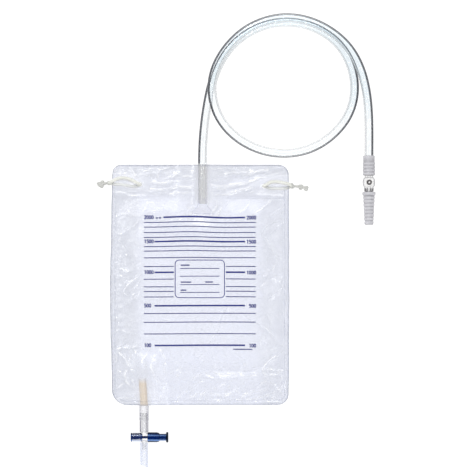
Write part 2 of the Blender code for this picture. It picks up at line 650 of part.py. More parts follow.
def make_drain_valve(shop):
    """A cross-shaped body: the flow passes down through it, and the spool slides across in its barrel and cap."""
    centre = np.array((OUTLET_X, VALVE_Y, OUTLET_HEIGHT))
    barrel = [
        (0, BARREL_SPIGOT_END), (BARREL_SPIGOT_RADIUS, BARREL_SPIGOT_END),
        (BARREL_SPIGOT_RADIUS, BARREL_SHOULDER), (BARREL_RADIUS, BARREL_SHOULDER),
        (BARREL_RADIUS, -BARREL_LEFT), (0, -BARREL_LEFT),
    ]  # fmt: skip
    body = shop.turned("valve_body", barrel, "clear plastic", centre, "X")
    shoulder = VALVE_DROP - SLEEVE_LENGTH - 2 * GAP
    up, across = np.array((0, 1, 0)), np.array((1, 0, 0))
    spigot_top = centre + up * (shoulder + SPIGOT_LENGTH - GAP)
    nipple_radius = SPOUT_RADIUS - SPOUT_WALL - GAP
    nipple_end = centre - up * (CAP_RADIUS + NIPPLE_LENGTH)
    neck_start = CAP_RADIUS + GAP
    middle = (neck_start + shoulder) / 2
    core = shop.cylinder("valve_neck_core", NECK_CORE_RADIUS, centre, centre + up * middle)
    neck = shop.cylinder("valve_neck", NECK_RADIUS, centre + up * neck_start, centre + up * shoulder)
    spigot = shop.cylinder("valve_spigot", STUB_RADIUS, centre + up * middle, spigot_top)
    nipple = shop.cylinder("valve_nipple", nipple_radius, centre, nipple_end)
    for piece in (core, neck, spigot, nipple):
        shop.combine(body, piece, "UNION")
    bore_radius = SPOOL_RADIUS + SPOOL_RUNNING_GAP
    beyond = 0.002
    bore_ends = centre - across * (BARREL_LEFT + beyond), centre + across * (BARREL_SPIGOT_END + beyond)
    bore = shop.cylinder("barrel_bore", bore_radius, *bore_ends)
    twist = np.pi / TURNED_STEPS / 2
    inlet = shop.cylinder("inlet_passage", PASSAGE_RADIUS, centre, spigot_top + up * beyond, twist=twist)
    drain_radius = nipple_radius - NIPPLE_WALL
    drain = shop.cylinder("drain_passage", drain_radius, centre, nipple_end - up * beyond, twist=twist)
    for passage in (inlet, drain):
        shop.combine(bore, passage, "UNION")
    shop.combine(body, bore, "DIFFERENCE")

    socket = BARREL_SPIGOT_RADIUS + GAP
    cap = [
        (CAP_MOUTH_RADIUS, CAP_RIGHT), (CAP_RADIUS, CAP_TAPER_START), (CAP_RADIUS, BARREL_SHOULDER + GAP),
        (socket, BARREL_SHOULDER + GAP), (socket, BARREL_SPIGOT_END + GAP),
        (bore_radius, BARREL_SPIGOT_END + GAP), (bore_radius, CAP_RIGHT),
    ]  # fmt: skip
    shop.turned("valve_cap", cap, "blue plastic", centre, "X", True)

    ridge = SPOOL_RADIUS + SEAL_RIDGE
    head_start = -BARREL_LEFT - GAP
    flange_start = CAP_RIGHT + SPOOL_TRAVEL + GAP
    flange_end = flange_start + SPOOL_FLANGE
    edge = 0.0004
    profile = [
        (0, flange_end), (SPOOL_FLANGE_RADIUS - edge, flange_end), (SPOOL_FLANGE_RADIUS, flange_end - edge),
        (SPOOL_FLANGE_RADIUS, flange_start + edge), (SPOOL_FLANGE_RADIUS - edge, flange_start),
        (SPOOL_RADIUS, flange_start), (SPOOL_RADIUS, SPOOL_WAIST_RIGHT + SEAL_LENGTH + edge),
        (ridge, SPOOL_WAIST_RIGHT + SEAL_LENGTH), (ridge, SPOOL_WAIST_RIGHT + edge),
        (SPOOL_RADIUS - edge, SPOOL_WAIST_RIGHT), (SPOOL_WAIST_RADIUS, SPOOL_WAIST_RIGHT),
        (SPOOL_WAIST_RADIUS, -SPOOL_WAIST_LEFT), (SPOOL_RADIUS - edge, -SPOOL_WAIST_LEFT),
        (ridge, -SPOOL_WAIST_LEFT - edge), (ridge, -SPOOL_WAIST_LEFT - SEAL_LENGTH),
        (SPOOL_RADIUS, -SPOOL_WAIST_LEFT - SEAL_LENGTH - edge), (SPOOL_RADIUS, head_start),
        (BARREL_RADIUS - edge, head_start), (BARREL_RADIUS, head_start - edge),
        (BARREL_RADIUS, head_start - SPOOL_HEAD), (0, head_start - SPOOL_HEAD),
    ]  # fmt: skip
    shop.turned("valve_spool", profile, "blue plastic", centre, "X")


def make_drain_spout(shop):
    """A soft pipe pushed on the valve's nipple, sagging a little and cut on a slant at its tip."""
    top = VALVE_Y - CAP_RADIUS - GAP
    tip = BOTTOM - OUTLET_DROP
    route = [
        (OUTLET_X, top, OUTLET_HEIGHT),
        (OUTLET_X, top - NIPPLE_LENGTH, OUTLET_HEIGHT),
        (OUTLET_X, (top - NIPPLE_LENGTH + tip) / 2, OUTLET_HEIGHT - SPOUT_SAG * 0.4),
        (OUTLET_X, tip - 0.003, OUTLET_HEIGHT - SPOUT_SAG),
    ]
    spout = shop.pipe("drain_spout", spline_through(route, 8), SPOUT_RADIUS, SPOUT_WALL, "clear plastic", 3)
    mesh = bpy.data.meshes.new("spout_slant")
    bm = bmesh.new()
    bmesh.ops.create_cube(bm, size=0.030)
    bm.to_mesh(mesh)
    bm.free()
    cutter = shop.place("spout_slant", mesh, None)
    slope = -np.arctan(SPOUT_SLANT / (2 * SPOUT_RADIUS))
    cutter.rotation_euler = (0, 0, slope)
    middle = np.array((OUTLET_X, tip + SPOUT_SLANT / 2, OUTLET_HEIGHT))
    cutter.location = middle + 0.015 * np.array((np.sin(slope), -np.cos(slope), 0))
    shop.combine(spout, cutter, "DIFFERENCE")


def make_connector(shop):
    """Grip sleeve, clear body with its sampling port, and the stepped adapter that a catheter's funnel grips."""
    tip = (CONNECTOR_OFFSET, CONNECTOR_Y, FLANGE_RADIUS)
    bore = HOSE_RADIUS + GAP
    grip = [(GRIP_RADIUS - 0.0004, SLEEVE_TOP), (GRIP_RADIUS, SLEEVE_TOP - 0.0006)]
    lowest = SLEEVE_BOTTOM + GRIP_PITCH / 2
    for ridge in reversed(range(GRIP_RIDGES)):
        crest = lowest + ridge * GRIP_PITCH
        grip += [(GRIP_RADIUS, crest + GRIP_PITCH * 0.42), (GRIP_RADIUS + GRIP_RIDGE, crest),
                 (GRIP_RADIUS, crest - GRIP_PITCH * 0.42)]  # fmt: skip
    grip += [(GRIP_RADIUS - 0.0004, SLEEVE_BOTTOM), (bore, SLEEVE_BOTTOM), (bore, SLEEVE_TOP)]
    shop.turned("connector_sleeve", grip, "frosted sleeve", tip, "Y", True)

    body_top = HOSE_END - GAP
    joint_end = ADAPTER_TOP - JOINT_LENGTH
    profile = [(BODY_RADIUS - 0.0004, body_top), (BODY_RADIUS, body_top - 0.0006), (BODY_RADIUS, SLEEVE_BOTTOM),
               (THROAT_RADIUS, SLEEVE_BOTTOM - 0.0010)]  # fmt: skip
    for angle in np.linspace(-1, 1, 9)[1:-1] * np.pi / 2:
        swell = THROAT_RADIUS + (BULB_RADIUS - THROAT_RADIUS) * np.cos(angle)
        profile.append((swell, PORT_HEIGHT - BULB_HALF_LENGTH * np.sin(angle)))
    profile += [
        (WAIST_RADIUS, PORT_HEIGHT - BULB_HALF_LENGTH), (WAIST_RADIUS, ADAPTER_TOP + 0.0012),
        (WAIST_RADIUS - 0.0005, ADAPTER_TOP + GAP), (JOINT_RADIUS, ADAPTER_TOP + GAP),
        (JOINT_RADIUS, joint_end), (BODY_BORE, joint_end), (BODY_BORE, body_top),
    ]  # fmt: skip
    body = shop.turned("connector_body", profile, "clear plastic", tip, "Y", True)

    port = np.array((CONNECTOR_OFFSET, CONNECTOR_Y + PORT_HEIGHT, FLANGE_RADIUS))
    up = np.array((0, 0, 1))
    seat = port + up * TURRET_SEAT
    turret = shop.cylinder("port_turret", TURRET_RADIUS, port + up * (BODY_BORE + 0.0006), port + up * TURRET_TOP)
    shop.combine(body, turret, "UNION")
    pocket = shop.cylinder("port_pocket", SEPTUM_RADIUS + GAP, seat, port + up * (TURRET_TOP + 0.002))
    duct = shop.cylinder("port_duct", SEPTUM_RADIUS * 0.5, port, seat + up * 0.0005)
    for cutter in (pocket, duct):
        shop.combine(body, cutter, "DIFFERENCE")

    ring_low, ring_high = TURRET_TOP + GAP, TURRET_TOP + GAP + RING_HEIGHT
    ring_bore = SEPTUM_RADIUS + GAP
    ring_outer = ring_bore + RING_WALL
    ring = [
        (ring_outer - 0.0005, ring_high), (ring_outer, ring_high - 0.0005), (ring_outer, ring_low),
        (ring_bore, ring_low), (ring_bore, ring_high - 0.0003), (ring_bore + 0.0003, ring_high),
    ]  # fmt: skip
    shop.turned("sample_port_ring", ring, "white plastic", port, "Z", True)
    septum_top = ring_high - 0.0004
    septum = [
        (0, septum_top - SEPTUM_DISH), (SEPTUM_RADIUS * 0.45, septum_top - SEPTUM_DISH),
        (SEPTUM_RADIUS * 0.7, septum_top), (SEPTUM_RADIUS - 0.0003, septum_top),
        (SEPTUM_RADIUS, septum_top - 0.0003), (SEPTUM_RADIUS, TURRET_SEAT + GAP), (0, TURRET_SEAT + GAP),
    ]  # fmt: skip
    shop.turned("sample_port_septum", septum, "grey rubber", port, "Z")

    nozzle = [(FLANGE_RADIUS - 0.0005, ADAPTER_TOP), (FLANGE_RADIUS, ADAPTER_TOP - 0.0006),
              (FLANGE_RADIUS, ADAPTER_SHOULDER + 0.0008), (NOZZLE_TOP_RADIUS, ADAPTER_SHOULDER)]  # fmt: skip
    step = (ADAPTER_SHOULDER - 0.0010) / NOZZLE_STEPS
    for number in range(NOZZLE_STEPS):
        high = ADAPTER_SHOULDER - number * step
        share = high / ADAPTER_SHOULDER
        radius = NOZZLE_TIP_RADIUS + (NOZZLE_TOP_RADIUS - NOZZLE_TIP_RADIUS) * share
        nozzle += [(radius - NOZZLE_STEP_DEPTH, high - step * 0.3), (radius, high - step * 0.75)]
    nozzle += [
        (NOZZLE_TIP_RADIUS - 0.0006, 0), (NOZZLE_BORE, 0), (NOZZLE_BORE, joint_end - GAP),
        (JOINT_RADIUS + GAP, joint_end - GAP), (JOINT_RADIUS + GAP, ADAPTER_TOP),
    ]  # fmt: skip
    shop.turned("catheter_adapter", nozzle, "frosted sleeve", tip, "Y", True)


def ink_strip(shop, name, start, end, drop, width):
    """A straight printed line, draped on the front film: bent at each of its columns, but not on the plateau."""
    level = drop > INLET_INSIDE + 0.002 + INLET_FADE
    bends = [] if level else [x for x in film_columns() if start + 0.001 < x < end - 0.001]
    x = np.array([start, *bends, end])
    x = np.broadcast_to(x, (2, len(x)))
    y = TOP - drop + np.array([[width / 2], [-width / 2]]) * np.ones_like(x)
    shop.surface(name, np.stack([x, y, print_height(x, y)], axis=-1), "blue ink", INK, 1.0)


def make_graduations(shop):
    """Major and minor volume lines; those beside the writing panel stop short of it on both sides."""
    stop = PANEL_HALF_WIDTH + PANEL_CLEAR
    lines = [(f"major_line_{name}", MAJOR_HALF_LENGTH, drop, MAJOR_WIDTH) for name, drop in MAJOR_DROPS.items()]
    lines += [(f"minor_line_{n + 1}", MINOR_HALF_LENGTH, drop, MINOR_WIDTH) for n, drop in enumerate(MINOR_DROPS)]
    for name, half, drop, width in lines:
        start = -half + (UNIT_MARK_ROOM if drop == min(MAJOR_DROPS.values()) else 0)
        if PANEL_TOP_DROP < drop < PANEL_BOTTOM_DROP:
            ink_strip(shop, f"{name}_left", start, -stop, drop, width)
            ink_strip(shop, f"{name}_right", stop, half, drop, width)
        else:
            ink_strip(shop, name, start, half, drop, width)


def make_writing_panel(shop):
    """A rounded frame and its lines to write on."""
    middle = TOP - (PANEL_TOP_DROP + PANEL_BOTTOM_DROP) / 2
    half_height = (PANEL_BOTTOM_DROP - PANEL_TOP_DROP) / 2
    angles = np.linspace(0, 2 * np.pi, 21)[:-1]
    corner_x = np.sign(np.cos(angles + 0.01)) * (PANEL_HALF_WIDTH - PANEL_RADIUS)
    corner_y = np.sign(np.sin(angles + 0.01)) * (half_height - PANEL_RADIUS)
    loops = []
    for radius in (PANEL_RADIUS - MINOR_WIDTH / 2, PANEL_RADIUS + MINOR_WIDTH / 2):
        x = corner_x + radius * np.cos(angles)
        y = middle + corner_y + radius * np.sin(angles)
        loops.append(np.stack([x, y, print_height(x, y)], axis=-1))
    points = np.stack(loops)
    points = np.concatenate([points, points[:, :1]], axis=1)
    shop.surface("panel_frame", points, "blue ink", INK, 1.0, closed=True)
    for number, drop in enumerate(WRITING_DROPS):
        ink_strip(shop, f"writing_line_{number + 1}", -WRITING_HALF_LENGTH, WRITING_HALF_LENGTH, drop, MINOR_WIDTH)


def main():
    shop = Workshop()
    make_films(shop)
    make_hose(shop)
    make_non_return_valve(shop)
    make_hanging_cord(shop, "left", LEFT_HOLE, LEFT_FRONT_STRAND, LEFT_BACK_STRAND, LEFT_KNOTS)
    make_hanging_cord(shop, "right", RIGHT_HOLE, RIGHT_FRONT_STRAND, RIGHT_BACK_STRAND, RIGHT_KNOTS)
    make_outlet(shop)
    make_drain_valve(shop)
    make_drain_spout(shop)
    make_connector(shop)
    make_graduations(shop)
    make_writing_panel(shop)


main()
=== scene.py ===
"""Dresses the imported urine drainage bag: clear films, hose, valve, connector, print and hanging cords."""

import math

import bmesh
import bpy
import numpy as np
from bpy.props import FloatProperty, FloatVectorProperty, IntProperty, PointerProperty
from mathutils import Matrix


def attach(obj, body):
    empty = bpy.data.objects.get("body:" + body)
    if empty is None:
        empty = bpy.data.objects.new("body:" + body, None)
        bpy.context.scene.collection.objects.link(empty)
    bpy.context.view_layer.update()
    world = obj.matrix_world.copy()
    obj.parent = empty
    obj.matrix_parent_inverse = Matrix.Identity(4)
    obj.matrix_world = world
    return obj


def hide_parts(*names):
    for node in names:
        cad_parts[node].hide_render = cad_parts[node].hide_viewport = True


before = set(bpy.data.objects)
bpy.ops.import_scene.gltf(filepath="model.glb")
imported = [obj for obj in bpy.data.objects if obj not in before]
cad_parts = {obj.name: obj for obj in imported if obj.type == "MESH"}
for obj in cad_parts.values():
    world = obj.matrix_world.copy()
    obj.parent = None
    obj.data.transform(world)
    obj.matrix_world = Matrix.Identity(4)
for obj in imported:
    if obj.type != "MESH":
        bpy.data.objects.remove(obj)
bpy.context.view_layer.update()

bl_info = {
    "name": "Drainage bag",
    "version": (1, 0, 0),
    "blender": (4, 5, 0),
    "location": "View3D > Sidebar > Drainage bag",
    "description": "Makes the visible pieces of a urine drainage bag around its packed solids",
    "category": "Add Mesh",
}


def mm(*values):
    """Millimetres as an array of metres."""
    return np.array(values, float) / 1000


def shade(colour, share):
    return tuple(share * part for part in colour)


# Sizes that the solids were made with, in metres
GAP, SLACK, FILM = 0.0003, 0.00015, 0.00035
BAG_WIDTH, BAG_HEIGHT, OUTLET_DROP = 0.200, 0.270, 0.0700
TOP = (BAG_HEIGHT + OUTLET_DROP) / 2
BOTTOM = TOP - BAG_HEIGHT
HALF_WIDTH = BAG_WIDTH / 2
LEFT_BOW, RIGHT_BOW = 0.0018, 0.0008
CORNERS = {"top_left": 0.0095, "top_right": 0.0113, "bottom_left": 0.0165, "bottom_right": 0.0124}
SIDE_WELD, BOTTOM_WELD, HEADER = 0.0050, 0.0036, 0.0365
HOSE_RADIUS, INLET_X, INLET_HEIGHT, INLET_INSIDE = 0.0050, 0.0030, 0.0063, 0.0441
OUTLET_X, OUTLET_HEIGHT = -0.0625, 0.0062
STUB_RADIUS, STUB_WALL, STUB_INSIDE, STUB_LEAN, STUB_OUTSIDE = 0.0043, 0.0015, 0.0300, 0.0019, 0.0085
SLEEVE_RADIUS, SLEEVE_LENGTH, VALVE_DROP = 0.0056, 0.0162, 0.0359
VALVE_Y = BOTTOM - VALVE_DROP
VALVE = (OUTLET_X, VALVE_Y, OUTLET_HEIGHT)
CONNECTOR, PORT_ALONG = (0.1898, TOP - 0.0675, 0.0074), 0.0475
LEFT_HOLE, RIGHT_HOLE, HOLE_RADIUS = (-0.0673, TOP - 0.0222), (0.0722, TOP - 0.0239), 0.0026
CORD_RADIUS, CORD_LIFT, CORD_LIFT_REACH = 0.0014, 0.0041, 0.0150
WELD_REACH, WELD_SPREAD, INLET_FADE, OUTLET_FADE = 0.0030, 0.0220, 0.0320, 0.0300
VALVE_OVERLAP, VALVE_FLAP_LENGTH, VALVE_FLAP_HALF_WIDTH = 0.0060, 0.0114, 0.0125

# Sizes of the dressing alone: a cord's strand, the raised line beside a weld, and the films' grids
STRAND_RADIUS, BEAD = 0.0019, 0.00022
FRONT_GRID, BACK_GRID, EDGE_GRID = 0.00135, 0.0022, 0.0280
# The cords' twist repeats at this length. Edges sharper than these angles, in degrees, stay sharp
TWIST, SHARP, PIPE_SHARP, CORD_SHARP = 0.0085, 32, 50, 60
# A point lies in a groove, down to this depth, when a higher ring is within this reach
GROOVE_REACH, GROOVE_DEPTH = 0.0016, 0.0004
SPOUT_RADIUS, SPOUT_BORE = 0.00415, 0.00275

# The hose's route, as the solid one has it
HOSE_ROUTE = mm(
    (3.1, 125.9, 6.3), (3.1, 147.3, 6.3), (3.0, 169.8, 6.2), (3.4, 191.1, 5.5), (5.1, 213.6, 5.1),
    (8.3, 236.7, 5.1), (13.4, 260.3, 5.1), (22.2, 283.4, 5.1), (36.2, 303.6, 5.1), (55.3, 318.7, 5.1),
    (76.1, 327.3, 5.1), (98.0, 330.0, 5.1), (119.8, 327.0, 5.1), (139.7, 318.3, 5.1), (156.0, 304.8, 5.1),
    (167.3, 286.8, 5.1), (173.1, 266.5, 5.1), (173.0, 245.7, 5.1), (166.9, 226.3, 5.1), (155.4, 209.8, 5.1),
    (139.4, 196.1, 5.1), (119.8, 186.6, 5.1), (98.0, 182.9, 5.1), (75.9, 184.8, 5.1), (54.6, 192.5, 5.4),
    (35.9, 205.4, 7.6), (22.2, 222.6, 11.7), (15.0, 242.9, 14.9), (14.3, 263.7, 15.4), (20.4, 283.9, 15.5),
    (33.4, 303.6, 15.5), (51.9, 320.1, 15.5), (73.9, 330.4, 15.5), (98.0, 334.1, 15.5), (122.0, 330.4, 15.4),
    (144.7, 319.9, 15.3), (164.2, 303.6, 14.6), (177.8, 282.5, 12.1), (185.6, 258.6, 8.3),
    (189.1, 233.9, 5.6), (190.0, 209.1, 5.5), (189.9, 186.6, 7.1), (189.8, 172.0, 7.4),
)

# Each cord's strand over the films and the one under them, from the knots to the hole
LEFT_FRONT_STRAND = mm(
    (-99.1, 151.0), (-96.6, 152.4), (-90.9, 154.8), (-83.1, 154.9), (-75.2, 152.2), (-70.1, 149.4),
)
LEFT_BACK_STRAND = mm(
    (-99.4, 148.9), (-96.6, 148.2), (-90.1, 147.9), (-81.5, 146.8), (-74.5, 145.7), (-70.6, 146.2),
)
RIGHT_FRONT_STRAND = mm(
    (99.5, 148.4), (96.5, 149.1), (90.5, 150.4), (83.0, 150.9), (77.5, 149.4), (74.5, 147.4),
)
RIGHT_BACK_STRAND = mm(
    (99.7, 144.6), (96.5, 143.8), (90.5, 143.3), (83.0, 143.4), (77.5, 144.0), (75.0, 144.9),
)
# Knots of each cord: centre, size over all and turn about the vertical, in radians
LEFT_KNOTS = (
    ((-0.1022, 0.1495, 0.0031), 0.0058, 0.4), ((-0.1092, 0.1493, 0.0029), 0.0068, 1.2),
    ((-0.1108, 0.1469, 0.0027), 0.0068, 2.6), ((-0.113, 0.1483, 0.0027), 0.006, 0.1),
)
RIGHT_KNOTS = (
    ((0.103, 0.1461, 0.0032), 0.0072, 0.9), ((0.1133, 0.1451, 0.003), 0.0069, 2.1),
    ((0.1192, 0.1435, 0.0028), 0.0067, 0.2),
)
LEFT_TAIL = mm((-102.2, 149.5, 3.1), (-105.8, 149.0, 2.7), (-109.5, 148.5, 2.8))
RIGHT_TAIL = mm((103.0, 146.1, 3.2), (107.8, 145.8, 2.7), (113.3, 145.0, 2.9), (119.2, 143.5, 2.8))

# Print: distances below the bag's top edge
MAJORS = dict(zip(("2000", "1500", "1000", "500", "100"), mm(59.2, 86.3, 120.9, 158.4, 203.0)))
MINORS = mm(64.8, 70.0, 76.1, 81.6, 91.9, 96.9, 104.5, 114.3, 128.5, 137.1, 142.3, 148.5, 167.1, 176.9, 190.0)
MINOR_HALF, MAJOR_HALF, UNIT_ROOM = 0.0628, 0.0508, 0.0100
MAJOR_WIDTH, MINOR_WIDTH, INK_SPREAD, INK_LIFT, INK_DEPTH = 0.0016, 0.0009, 1.17, 0.0001, 0.00004
PANEL_HALF_WIDTH, PANEL_TOP, PANEL_BOTTOM, PANEL_RADIUS, PANEL_CLEAR = 0.0277, 0.1071, 0.1494, 0.0045, 0.0016
WRITING_DROPS, WRITING_HALF = (0.1167, 0.1254, 0.1348, 0.1436), 0.0221
# Short marks: both ends, drop and width
SHORT_MARKS = mm(
    (-49.5, -47.0, 59.8, 1.6), (-46.0, -43.5, 59.8, 1.6), (-21.5, -11.5, 113.1, 1.5),
    (-21.5, -9.5, 132.0, 1.4), (6.2, 15.0, 132.0, 1.4), (-21.5, -15.0, 141.0, 1.5), (37.5, 59.0, 207.5, 1.2),
)
# Figures as pen strokes in a box 0.6 wide and 1 high: a pair of points is a straight stroke, more are a curve
FIGURE_PEN, FIGURE_STEP, FIGURE_EDGE, FIGURE_NUDGE = 0.225, 0.62, 0.0006, 0.0002
FIGURES = {
    "1": (((0.13, 0.76), (0.33, 0.93)), ((0.33, 0.99), (0.33, 0.02))),
    "2": (
        ((0.09, 0.72), (0.17, 0.88), (0.32, 0.92), (0.48, 0.82), (0.47, 0.62), (0.30, 0.36), (0.09, 0.09)),
        ((0.05, 0.09), (0.55, 0.09)),
    ),
    "5": (
        ((0.52, 0.91), (0.12, 0.91)), ((0.16, 0.96), (0.12, 0.50)),
        ((0.12, 0.53), (0.28, 0.60), (0.46, 0.52), (0.50, 0.32), (0.40, 0.13), (0.24, 0.09), (0.09, 0.16)),
    ),
}

# Creases of the front film: start and end (from the bag's middle and below its top edge), height, half width
NAMED_CREASES = mm(
    (9.2, 28.4, 73.3, 14.9, 1.3, 2.6), (13.7, 35.1, 62.0, 23.9, 0.9, 2.2),
    (18.0, 33.0, 56.0, 30.0, 0.6, 1.8), (-3.2, 28.4, -56.1, 15.9, 1.0, 2.6),
    (-56.0, 26.2, -7.5, 25.0, 0.8, 1.8), (-40.0, 33.0, -8.0, 31.7, 0.8, 1.8),
    (-56.0, 18.2, -12.0, 19.0, 0.7, 1.7), (-94.0, 12.0, -42.0, 8.5, 0.9, 3.5),
    (-42.0, 8.5, 0.0, 14.0, 0.8, 3.0), (18.0, 9.5, 88.0, 6.5, 0.8, 3.2),
    (-18.0, 239.2, 90.0, 231.5, 0.7, 2.4), (-5.0, 233.0, 94.0, 237.2, 0.6, 2.0),
    (10.0, 258.0, 82.0, 255.0, 0.6, 1.8), (72.0, 264.0, 96.0, 245.0, 0.5, 2.2),
    (-88.0, 48.0, -80.0, 172.0, 0.7, 6.0), (86.0, 52.0, 80.0, 150.0, 0.6, 6.0),
    (-50.0, 210.0, -56.0, 250.0, 0.8, 2.8), (-78.0, 208.0, -83.0, 256.0, 0.8, 2.6),
    (-93.0, 210.0, -70.0, 235.0, 0.6, 1.8), (-93.0, 238.0, -73.0, 252.0, 0.6, 1.6),
    (12.5, 29.0, 18.0, 43.0, 1.4, 1.3), (18.0, 43.0, 13.0, 56.0, 1.4, 1.3),
    (17.0, 30.0, 23.5, 45.0, 1.0, 1.2), (23.5, 45.0, 17.0, 60.0, 1.0, 1.2),
    (-16.0, 50.0, -6.0, 47.0, 1.2, 1.3), (-15.0, 57.0, -3.0, 54.0, 1.0, 1.3),
    (-10.5, 33.0, -12.5, 48.0, 1.0, 1.3),
)
# Crowds of small creases: how many, where across and down, and their length, turn, height and half width
SMALL_CREASES = (
    (34, (-0.092, 0.092), (0.004, 0.036), (0.016, 0.052), 0.25, (0.0002, 0.0007), (0.0010, 0.0022)),
    (46, (-0.090, 0.090), (0.040, 0.262), (0.020, 0.070), 1.60, (0.0001, 0.0004), (0.0016, 0.0036)),
    (30, (-0.094, -0.035), (0.205, 0.264), (0.006, 0.020), 3.10, (0.0003, 0.0007), (0.0009, 0.0018)),
    (16, (0.000, 0.094), (0.222, 0.264), (0.025, 0.070), 0.22, (0.0002, 0.0005), (0.0012, 0.0026)),
)

# Profiles of the turned pieces: radius, and place along the axis
BARREL = mm((0, -13.3), (5.0, -13.3), (5.0, 3.7), (4.75, 3.7), (4.75, 8.0), (0, 8.0))
CAP = mm((4.2, 17.2), (4.7, 17.2), (5.6, 14.8), (5.6, 4.0), (5.05, 4.0), (5.05, 8.3), (4.2, 8.3))
SPOOL = mm(
    (0, -14.9), (4.8, -14.9), (5.0, -14.6), (5.0, -13.8), (4.8, -13.6), (3.9, -13.6), (3.9, -3.35),
    (4.02, -3.1), (4.02, -2.1), (3.7, -1.75), (1.45, -1.75), (1.45, 4.2), (3.7, 4.2), (4.02, 4.6),
    (4.02, 5.6), (3.9, 5.8), (3.9, 24.7), (5.2, 24.7), (6.0, 25.4), (6.0, 26.6), (5.5, 27.3), (0, 27.3),
)
PORT_FOOT = mm((2.4, 31.9), (4.0, 31.9), (4.0, 37.2), (4.85, 37.2), (5.35, 38.1), (5.35, 41.2))
PORT_NECK = mm((4.6, 54.3), (5.0, 55.3), (5.0, 68.6), (4.6, 69.2), (2.4, 69.2))
PORT_TURRET = mm((0, 3.0), (4.7, 3.0), (4.7, 6.4), (0, 6.4))
PORT_RING = mm((3.2, 6.7), (4.7, 6.7), (4.7, 8.3), (4.2, 8.7), (3.5, 8.7), (3.2, 8.4))
STOPPER = mm((0, 4.1), (2.9, 4.1), (2.9, 8.0), (2.6, 8.3), (2.0, 8.3), (1.5, 7.7), (0, 7.6))
NOZZLE_TIP = mm((2.65, 0), (4.3, 0), (4.85, 0.7))
NOZZLE_FLANGE = mm((6.5, 32.8), (7.4, 33.6), (7.4, 36.3), (6.9, 36.9), (4.2, 36.9), (4.2, 31.6), (2.65, 31.6))
NOZZLE_STEPS, NOZZLE_LENGTH = 8, 0.0328

# The stage: the view's middle, the surface, the sky's ramps, and each light's place, size, power and whether
# it is aimed at the view's middle both ways
VIEW_MIDDLE, SENSOR, FLOOR_REACH, FLOOR_DROP = (0.0418, 0.0888), 36.0, 3.0, 0.00005
RANGE = ("From Min", "From Max", "To Min", "To Max")
SKY = (("Z", 0.10, 0.34, 0.03, 0.48), ("Z", 0.84, 0.95, 1.0, 0.16), ("Y", -0.9, 0.9, 1.0, 2.1))
LAMPS = {
    "crease_light_left": ((-0.52, 0.42, 1.60), (0.10, 0.9), 3.8, False),
    "crease_light_top": ((0.10, 0.78, 1.60), (0.9, 0.10), 3.8, False),
    "crease_light_right": ((0.62, -0.30, 1.60), (0.10, 0.7), 2.2, False),
    "key_light": ((-0.50, 1.75, 1.30), (0.5, 0.5), 8.5, True),
    "front_light": ((-0.05, -1.15, 0.80), (1.0, 0.30), 7.0, True),
}


# Settings


COLOUR = {"subtype": "COLOR", "size": 3, "min": 0, "max": 1}


class BagSettings(bpy.types.PropertyGroup):
    film: FloatProperty(name="Film thickness", description="Of each film", default=0.00025, unit="LENGTH")
    crease: FloatProperty(name="Crease height", description="1 is a bag laid flat", default=1.0, min=0)
    crumple: FloatProperty(name="Crumple", description="Height of its folds", default=0.00042, unit="LENGTH")
    seed: IntProperty(name="Crease seed", description="Chooses the small creases", default=11)
    colour: FloatVectorProperty(
        name="Film colour", description="Milky tone of the film", default=(0.46, 0.52, 0.78), **COLOUR
    )
    cover: FloatProperty(name="Film cover", description="How much one skin hides", default=0.12, min=0, max=1)


class HoseSettings(bpy.types.PropertyGroup):
    bore: FloatProperty(name="Hose bore radius", description="Inside radius", default=0.0037, unit="LENGTH")
    colour: FloatVectorProperty(
        name="Hose tint", description="Colour of the clear wall", default=(0.978, 0.992, 1.0), **COLOUR
    )


class PrintSettings(bpy.types.PropertyGroup):
    colour: FloatVectorProperty(
        name="Ink", description="Colour of the scale", default=(0.014, 0.022, 0.185), **COLOUR
    )
    digit: FloatProperty(name="Digit height", description="Of the figures", default=0.0044, unit="LENGTH")


class FittingSettings(bpy.types.PropertyGroup):
    blue: FloatVectorProperty(
        name="Spool blue", description="Of the spool and its cap", default=(0.0004, 0.0105, 0.085), **COLOUR
    )
    frosted: FloatVectorProperty(
        name="Frosted plastic", description="Of grip and adapter", default=(0.72, 0.71, 0.745), **COLOUR
    )
    stub: FloatVectorProperty(
        name="Outlet stub", description="Aged tone of the stub", default=(1.0, 0.84, 0.62), **COLOUR
    )


class StageSettings(bpy.types.PropertyGroup):
    distance: FloatProperty(name="Camera height", description="Above the surface", default=2.6, unit="LENGTH")
    width: FloatProperty(name="View width", description="Seen across", default=0.53325, unit="LENGTH")


# Shapes as functions of place


def smooth_step(t):
    t = np.clip(t, 0.0, 1.0)
    return t * t * (3 - 2 * t)


def distances(points):
    """Distance along a run of points, from its start to each of them."""
    return np.concatenate([[0], np.cumsum(np.linalg.norm(np.diff(points, axis=0), axis=1))])


def evenly(points, count):
    """The same line as a number of evenly spaced points."""
    length = distances(points)
    even = np.linspace(0, length[-1], count)
    return np.stack([np.interp(even, length, column) for column in points.T], axis=-1)


